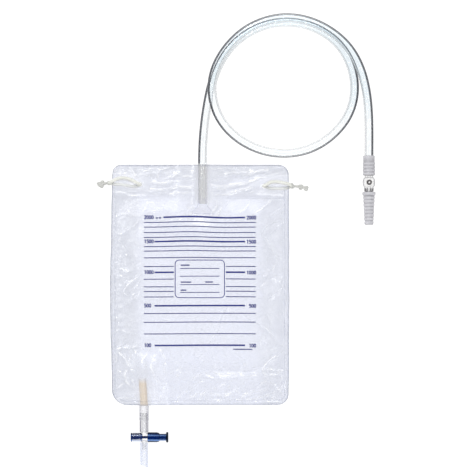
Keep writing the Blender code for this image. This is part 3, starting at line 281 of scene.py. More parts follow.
def spline_through(points, count):
    """Evenly spaced points on the natural cubic spline through the given points."""
    knots = np.array(points, float)
    at = distances(knots)
    step, size = np.diff(at), len(knots)
    matrix, right = np.eye(size), np.zeros_like(knots)
    for i in range(1, size - 1):
        matrix[i, i - 1 : i + 2] = step[i - 1], 2 * (step[i - 1] + step[i]), step[i]
        right[i] = 6 * ((knots[i + 1] - knots[i]) / step[i] - (knots[i] - knots[i - 1]) / step[i - 1])
    bend = np.linalg.solve(matrix, right)
    x = np.linspace(0, at[-1], 40 * size)
    k = np.clip(np.searchsorted(at, x, side="right") - 1, 0, size - 2)
    after, before, span = (at[k + 1] - x)[:, None], (x - at[k])[:, None], step[k][:, None]
    fine = (bend[k] * after**3 + bend[k + 1] * before**3) / (6 * span)
    fine += (knots[k] / span - bend[k] * span / 6) * after
    fine += (knots[k + 1] / span - bend[k + 1] * span / 6) * before
    return evenly(fine, count)


def ring_angles(steps):
    return np.linspace(0, 2 * np.pi, steps, endpoint=False)


def along(x, y, start, end):
    """Distance to a straight line between two ends, and how far along it the nearest point lies, 0 to 1."""
    run = np.subtract(end, start)
    t = ((x - start[0]) * run[0] + (y - start[1]) * run[1]) / (run @ run)
    near = np.clip(t, 0, 1)
    return np.hypot(x - start[0] - near * run[0], y - start[1] - near * run[1]), t


def hug(offset, radius, weld):
    """Half height of a film over a pipe: the pipe's circle, then a straight tangent down to the weld."""
    far = np.abs(offset)
    circle = np.sqrt(np.maximum(radius**2 - far**2, 0))
    tangent = np.maximum(weld - far, 0) * radius / np.sqrt(weld**2 - radius**2)
    return np.where(far < radius**2 / weld, circle, tangent)


def weld_plane(offset, weld, height):
    """The weld beside a pipe stands at the pipe's own height and falls off smoothly to the sides."""
    return (height - FILM) * (1 - smooth_step((np.abs(offset) - weld) / WELD_SPREAD))


def inlet_form(x, drop):
    reach = HOSE_RADIUS + GAP + FILM / 2 + SLACK
    radius = reach + 0.0006 * smooth_step((drop - INLET_INSIDE + VALVE_OVERLAP + 0.006) / 0.006)
    weld = radius + WELD_REACH + VALVE_FLAP_HALF_WIDTH * smooth_step((drop - HEADER) / VALVE_FLAP_LENGTH)
    return weld_plane(x - INLET_X, reach + WELD_REACH, INLET_HEIGHT), hug(x - INLET_X, radius, weld)


def outlet_form(x, climb):
    radius = STUB_RADIUS + GAP + FILM / 2 + SLACK
    axis = OUTLET_X - STUB_LEAN * np.clip(climb / STUB_INSIDE, 0, 1)
    weld = radius + WELD_REACH
    return weld_plane(x - axis, weld, OUTLET_HEIGHT), hug(x - axis, radius, weld)


def cord_lift(x, y):
    """Both films ride up over the strand of each hanging cord that passes under the bag."""
    lift = 0
    for hole, side in ((LEFT_HOLE, -1), (RIGHT_HOLE, 1)):
        ends = (hole[0] - side * 0.002, hole[1] - 0.001), (side * (HALF_WIDTH + 0.004), hole[1] - 0.0005)
        lift = lift + CORD_LIFT * (1 - smooth_step(along(x, y, *ends)[0] / CORD_LIFT_REACH))
    return lift


def calm(x, y):
    """0 where a pipe or a cord lies under or on the film, 1 elsewhere, so that no crease cuts into one."""
    drop, climb = TOP - y, y - BOTTOM
    inlet = smooth_step((np.abs(x - INLET_X) - 0.006) / 0.006) + smooth_step((drop - 0.062) / 0.014)
    outlet = smooth_step((np.abs(x - OUTLET_X) - 0.006) / 0.006) + smooth_step((climb - 0.034) / 0.012)
    cords = 1.0
    for hole, side in ((LEFT_HOLE, -1), (RIGHT_HOLE, 1)):
        ends = (hole[0] - side * 0.003, hole[1]), (side * (HALF_WIDTH + 0.004), hole[1] + 0.001)
        cords = cords * smooth_step((along(x, y, *ends)[0] - 0.005) / 0.006)
    return np.clip(inlet, 0, 1) * np.clip(outlet, 0, 1) * cords


def ridge(x, y, start, end, height, width):
    """A crease: a bell across a straight line, tapering to nothing at both ends."""
    far, t = along(x, y, start, end)
    taper = smooth_step((t + 0.06) / 0.3) * smooth_step((1.06 - t) / 0.3)
    return height * np.exp(-((far / width) ** 2)) * taper


def crease_height(x, y, settings):
    """The named creases and the crowds of small ones, on wavering lines, with a low swell and the crumple."""
    drop = TOP - y
    wavy_x = x + 0.0016 * np.sin(drop / 0.0115 + 0.7) + 0.0011 * np.sin(drop / 0.0047 + 2.1)
    wavy_drop = drop + 0.0013 * np.sin(x / 0.0135 + 1.9) + 0.0008 * np.sin(x / 0.0052 + 0.4)
    total = 0
    for *ends, height, width in NAMED_CREASES:
        total = total + ridge(wavy_x, wavy_drop, ends[:2], ends[2:], height, width)
    rng = np.random.default_rng(settings.seed)
    for count, across, down, length, turn, height, width in SMALL_CREASES:
        for _ in range(count):
            middle = np.array((rng.uniform(*across), rng.uniform(*down)))
            angle, half = rng.uniform(-turn, turn), rng.uniform(*length) / 2
            run = half * np.array((math.cos(angle), math.sin(angle)))
            sign = 1 if rng.random() < 0.65 else -0.6
            shape = sign * rng.uniform(*height), rng.uniform(*width)
            total = total + ridge(wavy_x, wavy_drop, middle - run, middle + run, *shape)
    swell = 0.00035 * np.sin(x / 0.021 + 0.6) * np.sin(y / 0.034 + 1.1)
    swell = swell + 0.00025 * np.sin((x + 0.6 * y) / 0.013)
    return settings.crease * (total + swell + settings.crumple * crumple(wavy_x, wavy_drop, rng))


def crumple(x, drop, rng):
    """A network of folds: the sharp crests where a sum of slanted waves crosses zero, 1 on the crest.

    The network is flatter and runs more level across the header and the foot, and is calmest under the print.
    """
    network = 0
    for size, share in ((0.026, 1.0), (0.013, 0.55)):
        waves = 0
        for _ in range(9):
            turn, phase = rng.uniform(0, np.pi), rng.uniform(0, 2 * np.pi)
            length = size * rng.uniform(0.7, 1.5)
            run = 0.55 * x * np.cos(turn) + drop * np.sin(turn)
            waves = waves + np.sin(2 * np.pi * run / length + phase)
        network = network + share * np.maximum(1 - 0.42 * np.abs(waves), 0) ** 2.5
    ends = 1 + 0.5 * (1 - smooth_step((drop - 0.030) / 0.012)) + 0.4 * smooth_step((drop - 0.210) / 0.020)
    printed = (1 - smooth_step((np.abs(x) - 0.060) / 0.016)) * smooth_step((drop - 0.050) / 0.012)
    return network * ends * (1 - 0.62 * printed * (1 - smooth_step((drop - 0.205) / 0.012)))


def welded(x, y):
    """1 on the slack film, falling to 0 on the welded rim and on the weld across the header."""
    drop, climb = TOP - y, y - BOTTOM
    sides = smooth_step((HALF_WIDTH - np.abs(x) - SIDE_WELD + 0.0012) / 0.0030)
    ends = smooth_step((drop - 0.0016) / 0.0030) * smooth_step((climb - BOTTOM_WELD + 0.0008) / 0.0028)
    seam = 1 - 0.92 * (1 - smooth_step((np.abs(drop - HEADER) - 0.0012) / 0.0022))
    return sides * ends * seam


def loose(x, drop):
    """The empty chamber's low, soft swell and the lower one across the header."""
    across = 1 - smooth_step((np.abs(x) - 0.060) / (HALF_WIDTH - SIDE_WELD - 0.060))
    chamber = smooth_step((drop - HEADER) / 0.018) * (1 - smooth_step((drop - 0.204) / 0.062))
    header = smooth_step(drop / 0.012) * (1 - smooth_step((drop - 0.022) / (HEADER - 0.022)))
    return across * (0.0029 * chamber + 0.0010 * header)


def back_height(x, y):
    """Middle of the back film: flat, wrapped round each pipe at its weld and lifted over the cords."""
    drop, climb = TOP - y, y - BOTTOM
    seam, wrap = inlet_form(x, drop)
    inlet = (1 - smooth_step((drop - HEADER) / 0.010)) * (seam - wrap)
    seam, wrap = outlet_form(x, climb)
    outlet = (1 - smooth_step((climb - 0.006) / 0.010)) * (seam - wrap)
    return FILM / 2 + np.maximum(inlet, 0) + np.maximum(outlet, 0) + cord_lift(x, y)


def front_height(x, y, settings):
    """Middle of the front film: pipes and cords under it, the swell, the creases and the welds' line."""
    drop, climb = TOP - y, y - BOTTOM
    seam, wrap = inlet_form(x, drop)
    inlet = (1 - smooth_step((drop - INLET_INSIDE - 0.002) / INLET_FADE)) * (seam + wrap)
    seam, wrap = outlet_form(x, climb)
    outlet = (1 - smooth_step((climb - STUB_INSIDE - 0.002) / OUTLET_FADE)) * (seam + wrap)
    slack = welded(x, y) * slack_height(x, y, settings)
    return FILM / 2 + FILM + inlet + outlet + slack + cord_lift(x, y) + BEAD * weld_line(x, y)


def slack_height(x, y, settings):
    """The soft swell and the creases, which never cut down into the back film."""
    drop = TOP - y
    swell = loose(x, drop)
    return swell + calm(x, y) * np.maximum(crease_height(x, y, settings), -0.4 * swell - 0.0002)


def inside(x, y):
    """Distance in from the bag's outline, a rectangle with four rounded corners."""
    ends = [np.where(x < 0, CORNERS[f"{end}_left"], CORNERS[f"{end}_right"]) for end in ("top", "bottom")]
    radius = np.where(y > TOP - BAG_HEIGHT / 2, *ends)
    across = np.abs(x) - HALF_WIDTH + radius
    up = np.abs(y - TOP + BAG_HEIGHT / 2) - BAG_HEIGHT / 2 + radius
    return radius - np.hypot(np.maximum(across, 0), np.maximum(up, 0)) - np.minimum(np.maximum(across, up), 0)


def weld_line(x, y):
    """1 on the inner edge of the welds down the sides, along the foot and across the header, 0 elsewhere."""
    drop, depth = TOP - y, inside(x, y)
    rim = np.exp(-(((depth - SIDE_WELD + 0.0005) / 0.0006) ** 2)) * smooth_step((drop - 0.020) / 0.010)
    across = np.exp(-(((np.abs(drop - HEADER) - 0.0011) / 0.0005) ** 2)) * (depth > SIDE_WELD)
    return np.maximum(rim, 0.7 * across * calm(x, y))


def pressed(x, y):
    """1 where the films lie pressed onto a cord under them and so look clearer, 0 elsewhere."""
    far = np.inf
    for strand in (LEFT_BACK_STRAND, RIGHT_BACK_STRAND):
        for start, end in zip(strand[:-1], strand[1:]):
            far = np.minimum(far, along(x, y, start, end)[0])
    return 1 - smooth_step((far - 0.7 * STRAND_RADIUS) / 0.0012)


def doubled_shade(x, y):
    """1 where the film is painted darker: partly its doubled, crumpled layers, partly painted shade, stronger
    on the left, where the lights reflect less: both margins, the header's top and the foot's left corner.
    """
    drop = TOP - y
    margins = smooth_step((np.abs(x) - 0.058) / 0.018)
    header = 0.85 * (1 - smooth_step((drop - 0.030) / 0.018))
    header = header + 0.45 * (1 - smooth_step((drop - 0.008) / 0.010))
    foot = smooth_step((drop - 0.212) / 0.020) * (0.35 + 0.65 * smooth_step((-0.045 - x) / 0.020))
    return np.maximum(np.maximum(np.where(x < 0, 1.2, 0.95) * margins, header), foot)


def corner_inset(depth, radius):
    """How far a rounded corner draws the edge in, at a depth below the straight edge."""
    rest = radius - np.clip(depth, 0, radius)
    return radius - np.sqrt(np.maximum(radius**2 - rest**2, 0))


def film_edges(drop):
    """The bag's left and right edge at a distance below its top edge: bowed, cornered and a little uneven.

    The slack film bellies out a millimetre on the left, halfway down.
    """
    climb, bow = BAG_HEIGHT - drop, (2 * drop / BAG_HEIGHT - 1) ** 2
    left, right = (
        most * bow + corner_inset(drop, CORNERS[f"top_{end}"]) + corner_inset(climb, CORNERS[f"bottom_{end}"])
        for end, most in (("left", LEFT_BOW), ("right", RIGHT_BOW))
    )
    uneven = 0.00012 * np.sin(drop / 0.011) + 0.00010 * np.sin(drop / 0.0047 + 1.0)
    belly = 0.0010 * np.exp(-(((drop - 0.150) / 0.050) ** 2))
    return left - HALF_WIDTH + uneven - belly, HALF_WIDTH + 0.0006 - right + uneven


def graded(low, high, coarse, *spots):
    """Grid lines from low to high, a coarse step apart, and finer within reach of each spot."""
    at = np.linspace(low, high, 4000)
    step = np.full(at.size, coarse)
    for centre, reach, fine in spots:
        step = np.minimum(step, fine + (coarse - fine) * smooth_step((np.abs(at - centre) - reach) / 0.008))
    total = np.concatenate([[0], np.cumsum((1 / step[1:] + 1 / step[:-1]) / 2 * np.diff(at))])
    return np.interp(np.linspace(0, total[-1], int(round(total[-1])) + 1), total, at)


def film_grid(coarse):
    """Plan of a film: rows from the foot up, columns from the left, closing up at the rounded corners.

    Within reach of a hole the grid is fine, and the points round the hole lie on its rim.
    """
    columns = graded(
        -HALF_WIDTH, HALF_WIDTH, coarse, (INLET_X, 0.008, 0.0009), (OUTLET_X, 0.007, 0.0009),
        (-HALF_WIDTH, 0.006, 0.0006), (HALF_WIDTH, 0.006, 0.0006), (LEFT_HOLE[0], HOLE_RADIUS, 0.0007),
        (RIGHT_HOLE[0], HOLE_RADIUS, 0.0007),
    )
    rows = graded(
        0.0, BAG_HEIGHT, coarse, (0.0, 0.003, 0.0006), (0.023, 0.004, 0.0007), (HEADER, 0.003, 0.0009),
        (BAG_HEIGHT, 0.005, 0.0006),
    )
    arc = np.array([0.00003, 0.00012, 0.00028, 0.0005])
    drops = np.unique(np.concatenate([rows, arc, BAG_HEIGHT - arc]))[::-1]
    left, right = (edge[:, None] for edge in film_edges(drops))
    inner = HALF_WIDTH - EDGE_GRID
    x = np.broadcast_to(columns, (len(drops), len(columns))).copy()
    from_left = left + (x + HALF_WIDTH) * (-inner - left) / EDGE_GRID
    from_right = right - (HALF_WIDTH - x) * (right - inner) / EDGE_GRID
    x = np.where(x < -inner, from_left, np.where(x > inner, from_right, x))
    y = np.broadcast_to((TOP - drops)[:, None], x.shape).copy()
    kept = np.ones((x.shape[0] - 1, x.shape[1] - 1), bool)
    for hole in (LEFT_HOLE, RIGHT_HOLE):
        middle_x, middle_y = ((a[1:, 1:] + a[:-1, :-1]) / 2 for a in (x, y))
        gone = np.hypot(middle_x - hole[0], middle_y - hole[1]) < HOLE_RADIUS
        kept &= ~gone
        touched, whole = np.zeros(x.shape, bool), np.zeros(x.shape, bool)
        for r in (slice(0, -1), slice(1, None)):
            for c in (slice(0, -1), slice(1, None)):
                touched[r, c] |= gone
                whole[r, c] |= ~gone
        rim = touched & whole
        far = np.maximum(np.hypot(x - hole[0], y - hole[1]), 1e-6)
        x = np.where(rim, hole[0] + (x - hole[0]) * HOLE_RADIUS / far, x)
        y = np.where(rim, hole[1] + (y - hole[1]) * HOLE_RADIUS / far, y)
    return x, y, kept


def crest(x, y, height):
    """How sharply a height field bends: 1 on a crest, -1 in a trough, from its second differences."""
    across, up = np.gradient(x, axis=1), np.gradient(y, axis=0)
    bend = np.gradient(np.gradient(height, axis=1) / across, axis=1) / across
    bend = bend + np.gradient(np.gradient(height, axis=0) / up, axis=0) / up
    return np.clip(-bend / 260, -1, 1)


class FilmTop:
    """The front film's height as its mesh has it: straight lines between the grid's rows and columns."""

    def __init__(self, settings):
        x, y = film_grid(FRONT_GRID)[:2]
        self.rows, self.columns = y[:, 0], x[len(x) // 2]
        self.z = front_height(x, y, settings)

    def __call__(self, x, y):
        rows, columns = self.rows, self.columns
        r = np.clip(np.searchsorted(rows, y) - 1, 0, len(rows) - 2)
        c = np.clip(np.searchsorted(columns, x) - 1, 0, len(columns) - 2)
        up = (y - rows[r]) / (rows[r + 1] - rows[r])
        across = (x - columns[c]) / (columns[c + 1] - columns[c])
        low = self.z[r, c] * (1 - across) + self.z[r, c + 1] * across
        high = self.z[r + 1, c] * (1 - across) + self.z[r + 1, c + 1] * across
        return low * (1 - up) + high * up


# Surfaces


def new_object(name, mesh):
    obj = bpy.data.objects.new(name, mesh)
    bpy.context.scene.collection.objects.link(obj)
    return obj


def grid_mesh(
    name, points, wrap_rows=False, wrap_columns=False, merge=False, sharp=None, kept=None, values=()
):
    """A grid of points as a mesh object. A face's front is where its columns run right and its rows run up.

    kept says which cells have a face, and values names numbers that each point carries for its material.
    """
    rows, columns = points.shape[:2]
    cells = np.arange(rows if wrap_rows else rows - 1), np.arange(columns if wrap_columns else columns - 1)
    row, column = np.meshgrid(*cells, indexing="ij")
    above, right = (row + 1) % rows, (column + 1) % columns
    row_corners, column_corners = (row, row, above, above), (column, right, right, column)
    faces = np.stack([r * columns + c for r, c in zip(row_corners, column_corners)], axis=-1).reshape(-1, 4)
    used = np.ones(len(faces), bool) if kept is None else kept.reshape(-1)
    vertices, places = np.unique(faces[used], return_inverse=True)
    mesh = bpy.data.meshes.new(name)
    mesh.from_pydata(points.reshape(-1, 3)[vertices], [], places.reshape(-1, 4))
    for key, value in dict(values).items():
        numbers = np.broadcast_to(value, points.shape[:2]).reshape(-1)[vertices].astype(np.float32)
        mesh.attributes.new(key, "FLOAT", "POINT").data.foreach_set("value", numbers)
    u = np.stack([column, column + 1, column + 1, column], axis=-1).reshape(-1, 4)[used].reshape(-1) / columns
    v = np.stack([row, row, row + 1, row + 1], axis=-1).reshape(-1, 4)[used].reshape(-1) / rows
    uv = mesh.uv_layers.new(name="UVMap")
    uv.data.foreach_set("uv", np.stack([u, v], axis=-1).astype(np.float32).ravel())
    if merge:
        bm = bmesh.new()
        bm.from_mesh(mesh)
        bmesh.ops.remove_doubles(bm, verts=bm.verts, dist=1e-7)
        bm.to_mesh(mesh)
        bm.free()
    mesh.update()
    mesh.shade_smooth()
    if sharp is not None:
        mesh.set_sharp_from_angle(angle=math.radians(sharp))
    return new_object(name, mesh)


def merged(name, pieces, face_up=False):
    """Puts the meshes of several helpers into one new object and drops the helpers."""
    bm = bmesh.new()
    for piece in pieces:
        mesh = piece.data
        bm.from_mesh(mesh)
        bpy.data.objects.remove(piece, do_unlink=True)
        bpy.data.meshes.remove(mesh)
    if face_up:
        bmesh.ops.recalc_face_normals(bm, faces=bm.faces)
        bmesh.ops.reverse_faces(bm, faces=[face for face in bm.faces if face.normal.z < 0])
    mesh = bpy.data.meshes.new(name)
    bm.to_mesh(mesh)
    bm.free()
    mesh.shade_smooth()
    return new_object(name, mesh)


def thicken(obj, thickness, offset):
    wall = obj.modifiers.new("Wall", "SOLIDIFY")
    wall.thickness, wall.offset = thickness, offset


def tube_grid(path, radius, steps, up=(0.0, 0.0, 1.0)):
    """A ring carried square along a path: centre + radius times (cos a sideways + sin a upwards)."""
    path = np.asarray(path, float)
    tangent = np.gradient(path, axis=0)
    tangent /= np.linalg.norm(tangent, axis=1, keepdims=True)
    side = np.cross(np.broadcast_to(up, tangent.shape), tangent)
    side /= np.linalg.norm(side, axis=1, keepdims=True)
    over = np.cross(tangent, side)
    angle = ring_angles(steps)[None, :, None]
    radius = np.broadcast_to(np.asarray(radius, float), (len(path), steps))[..., None]
    return path[:, None, :] + radius * (np.cos(angle) * side[:, None, :] + np.sin(angle) * over[:, None, :])


def hollow_tube(name, path, outer, inner, steps=40):
    """A pipe wall: the outer ring carried along the path and the inner one back, closed at both ends.

    It carries which side of the bend a point lies on, and how nearly the pipe runs along the bag.
    """
    points = np.concatenate([tube_grid(path, outer, steps), tube_grid(path, inner, steps)[::-1]])
    run = np.gradient(path, axis=0)
    lengthwise = np.abs(run[:, 1]) / np.linalg.norm(run, axis=1)
    values = {
        "side": np.cos(ring_angles(steps))[None, :],
        "lengthwise": np.concatenate([lengthwise, lengthwise[::-1]])[:, None],
    }
    return grid_mesh(name, points, wrap_rows=True, wrap_columns=True, sharp=PIPE_SHARP, values=values)


def solid_tube(name, path, radius, steps, up=(0.0, 0.0, 1.0)):
    """A ring carried along a path, drawn in to a point at each end so that it closes."""
    start, end = (np.broadcast_to(path[i], (1, steps, 3)) for i in (0, -1))
    points = np.concatenate([start, tube_grid(path, radius, steps, up), end])
    return grid_mesh(name, points, wrap_columns=True, merge=True, sharp=CORD_SHARP)


def soften(points, radius, steps=3):
    """Rounds a closed profile's corners: each becomes a curve from a radius before to a radius after."""
    before, after = np.roll(points, 1, axis=0) - points, np.roll(points, -1, axis=0) - points
    ends = []
    for side in (before, after):
        length = np.linalg.norm(side, axis=1)
        reach = np.where(points[:, 0] <= 1e-9, 0, np.minimum(radius, 0.45 * length) / length)
        ends.append((points + side * reach[:, None])[:, None])
    t = np.linspace(0, 1, steps + 1)[None, :, None]
    curve = (1 - t) ** 2 * ends[0] + 2 * t * (1 - t) * points[:, None] + t**2 * ends[1]
    return curve.reshape(-1, 2)


def turned(name, profile, centre, axis, rounding=0.0, steps=64):
    """A closed (radius, height) profile turned about an axis: centre + radius times a circle + height.

    It carries how near the axis a point lies, and how deep it lies in a groove between higher rings close by.
    """
    profile = np.array(profile, float)
    if rounding:
        profile = soften(profile, rounding)
    r, h = profile.T
    if np.sum(r * np.roll(h, -1) - np.roll(r, -1) * h) < 0:
        profile = profile[::-1]
    first, second, third = np.roll(np.eye(3), -1 - "XYZ".index(axis), axis=0)
    angle = ring_angles(steps)[:, None]
    circle = np.cos(angle) * first + np.sin(angle) * second
    points = np.array(centre, float) + profile[:, :1, None] * circle + profile[:, 1:, None] * third
    near = np.abs(profile[:, None, 1] - profile[None, :, 1]) < GROOVE_REACH
    hull = np.max(np.where(near, profile[None, :, 0], 0), axis=1)
    values = {
        "middle": 1 - profile[:, :1] / profile[:, 0].max(),
        "groove": np.clip((hull - profile[:, 0]) / GROOVE_DEPTH, 0, 1)[:, None],
    }
    obj = grid_mesh(name, points, wrap_rows=True, wrap_columns=True, merge=True, sharp=SHARP, values=values)
    bm = bmesh.new()
    bm.from_mesh(obj.data)
    bmesh.ops.dissolve_degenerate(bm, dist=1e-7, edges=bm.edges)
    bmesh.ops.delete(bm, geom=[edge for edge in bm.edges if not edge.link_faces], context="EDGES")
    bm.to_mesh(obj.data)
    bm.free()
    return obj


def carved(obj, joined=(), cut=()):
    """Joins and cuts the helpers by exact Booleans, keeps the result as the piece's own mesh, drops them."""
    for operation, others in (("UNION", joined), ("DIFFERENCE", cut)):
        for other in others:
            step = obj.modifiers.new(operation, "BOOLEAN")
            step.operation, step.solver, step.object = operation, "EXACT", other
    bpy.context.view_layer.update()
    mesh = bpy.data.meshes.new_from_object(obj.evaluated_get(bpy.context.evaluated_depsgraph_get()))
    obj.modifiers.clear()
    obj.data = mesh
    mesh.shade_smooth()
    mesh.set_sharp_from_angle(angle=math.radians(SHARP))
    for other in (*joined, *cut):
        bpy.data.objects.remove(other, do_unlink=True)
    if not len(mesh.polygons):
        raise RuntimeError(f"{obj.name} was carved away")
    return obj


def rod(name, centre, axis, radius, low, high, steps=64):
    return turned(name, [(0, low), (radius, low), (radius, high), (0, high)], centre, axis, steps=steps)


# Materials


def feed(tree, socket, value):
    """Sets a socket to a value, or links it to another node's output."""
    if isinstance(value, bpy.types.NodeSocket):
        tree.links.new(value, socket)
    else:
        socket.default_value = value


def add_node(tree, kind, output, inputs=(), **settings):
    """Adds a shader node with its settings and inputs, and returns one of its outputs."""
    node = tree.nodes.new(f"ShaderNode{kind}")
    for key, value in settings.items():
        setattr(node, key, value)
    for socket, value in dict(inputs).items():
        feed(tree, node.inputs[socket], value)
    return node.outputs[output]


class Finish:
    """A procedural material: one shader, with patterns read from object coordinates."""

    def __init__(self, name, colour, roughness, **sockets):
        self.material = bpy.data.materials.new(name)
        self.material.use_nodes = True
        self.material.diffuse_color = self.tone = (*colour, 1.0)
        self.tree = self.material.node_tree
        self.shader = self.tree.nodes["Principled BSDF"]
        self.roughness, self.hidden, self.normal = roughness, 1.0, None
        for socket, value in {"Base Color": self.tone, "Roughness": roughness, **sockets}.items():
            self.set(socket, value)
        self.place = self.add("TexCoord", "Object")

    def add(self, *node, **settings):
        return add_node(self.tree, *node, **settings)

    def set(self, socket, value):
        feed(self.tree, self.shader.inputs[socket.replace("_", " ")], value)

    def noise(self, size, detail=2.0, stretch=(1, 1, 1)):
        """A noise whose blobs are about the given size, in metres."""
        place = self.add("Mapping", "Vector", {"Scale": stretch, "Vector": self.place})
        return self.add("TexNoise", "Fac", {"Scale": 1.0 / size, "Detail": detail, "Vector": place})

    def ramp(self, value, *numbers):
        """Carries a value's low and high ends to two others, 0 and 1 if none are given."""
        numbers = numbers if len(numbers) == 4 else (*numbers, 0.0, 1.0)
        return self.add("MapRange", "Result", {"Value": value, **dict(zip(RANGE, numbers))})

    def patches(self, size, low, high, share, detail=3.0):
        """Soft patches of about the given size, in metres."""
        return self.ramp(self.noise(size, detail), low, high, 0.0, share)

    def maths(self, operation, *values):
        return self.add("Math", "Value", enumerate(values), operation=operation)

    def times(self, *values):
        return self.maths("MULTIPLY", *values)

    def attribute(self, name):
        return self.add("Attribute", "Fac", attribute_name=name)

    def edge_on(self):
        """0 where the surface faces the eye, 1 where it turns away, as glass reads it."""
        return self.add("LayerWeight", "Facing")

    def crevice(self):
        """1 in a groove, 0 elsewhere."""
        return self.ramp(self.add("NewGeometry", "Pointiness"), 0.44, 0.495, 1.0, 0.0)

    def at(self, axis):
        """The place along an axis."""
        return self.add("SeparateXYZ", axis, {"Vector": self.place})

    def band(self, axis, low, high, blur=0.0005):
        """1 between two places along an axis, 0 outside them."""
        place = self.at(axis)
        rising = self.ramp(place, low - blur, low + blur)
        return self.times(rising, self.ramp(place, high - blur, high + blur, 1.0, 0.0))

    def hides(self, cover):
        """Sets how much one skin of clear plastic hides, as a number or a pattern."""
        self.hidden = cover
        self.set("Alpha", cover)

    def over(self, mask, colour, cover=0.0):
        """Lays another colour over what is there where the mask is high, and hides more there."""
        tones = {"A": self.tone, "B": (*colour, 1.0), "Factor": mask}
        self.tone = self.add("Mix", "Result", tones, data_type="RGBA")
        self.set("Base Color", self.tone)
        if cover:
            self.hides(self.maths("MULTIPLY_ADD", mask, cover, self.hidden))

    def vary_roughness(self, size, spread):
        ends = self.roughness - spread, self.roughness + spread
        self.set("Roughness", self.ramp(self.noise(size), 0.3, 0.7, *ends))

    def grain(self, size, height, strength, detail=2.0, stretch=(1, 1, 1)):
        """Raises blobs of about the given size by up to the given height, both in metres."""
        inputs = {"Strength": strength, "Distance": height, "Height": self.noise(size, detail, stretch)}
        if self.normal is not None:
            inputs["Normal"] = self.normal
        self.normal = self.add("Bump", "Normal", inputs)
        self.set("Normal", self.normal)

    def put_on(self, obj):
        obj.data.materials.clear()
        obj.data.materials.append(self.material)


def film_finish(name, settings):
    """Milky clear film: patchy tone, painted shade on its doubled margins, header and foot, creases whitened
    partly by stress and partly as a painted highlight, painted shade in their troughs, fine crinkle, greyer
    along its welds and cut edge.
    """
    finish = Finish(name, settings.colour, 0.20, IOR=2.6)
    finish.hides(settings.cover)
    finish.over(finish.patches(0.045, 0.42, 0.68, 0.5), shade(settings.colour, 0.88))
    # Painted shade, with the doubled film's own tone, down the margins, over the header and in the foot's
    # left corner.
    finish.over(finish.ramp(finish.attribute("doubled_shade"), 0.0, 1.3), (0.215, 0.265, 0.440), 0.016)
    # Crests whitened: partly the film's stress whitening, partly a painted highlight. Troughs greyed: painted
    # shade.
    finish.over(finish.ramp(finish.attribute("crest"), 0.10, 0.75, 0.0, 0.85), (0.96, 0.97, 1.0), 0.16)
    finish.over(finish.ramp(finish.attribute("crest"), -0.75, -0.10, 0.75, 0.0), (0.42, 0.45, 0.60), 0.08)
    faint = finish.ramp(finish.noise(0.030), 0.38, 0.66, 0.06, 0.52)
    finish.over(finish.times(finish.attribute("weld"), faint), (0.30, 0.33, 0.46), 0.16)
    finish.over(finish.attribute("edge"), (0.30, 0.31, 0.38), 0.30)
    clearer = finish.ramp(finish.attribute("pressed"), 0.0, 1.0, 1.0, 0.25)
    finish.hides(finish.times(finish.hidden, clearer))
    finish.grain(0.0075, 0.0010, 0.6, 3.0, (1.0, 1.9, 1.0))
    finish.grain(0.0019, 0.00012, 0.5)
    finish.vary_roughness(0.012, 0.07)
    return finish


def clear_finish(name, colour, cover, edge, reach, thick):
    """Clear plastic: it hides little where it faces the eye and greys where its wall is seen edge on, partly
    its longer path through the wall, partly painted shade.
    """
    finish = Finish(name, colour, 0.08, IOR=2.2)
    finish.hides(cover)
    # Edge-on grey: partly the wall's own tint, partly painted shade.
    finish.over(finish.ramp(finish.edge_on(), *reach), edge, thick - cover)
    finish.vary_roughness(0.002, 0.03)
    finish.grain(0.006, 0.00005, 0.3)
    return finish


# Operators


def settle(obj, finish, body, slot, *nodes):
    """Puts a finish on a piece, rides it on its body and hides the solids it stands for; the slot is not
    used.
    """
    finish.put_on(obj)
    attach(obj, body)
    if nodes:
        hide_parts(*nodes)


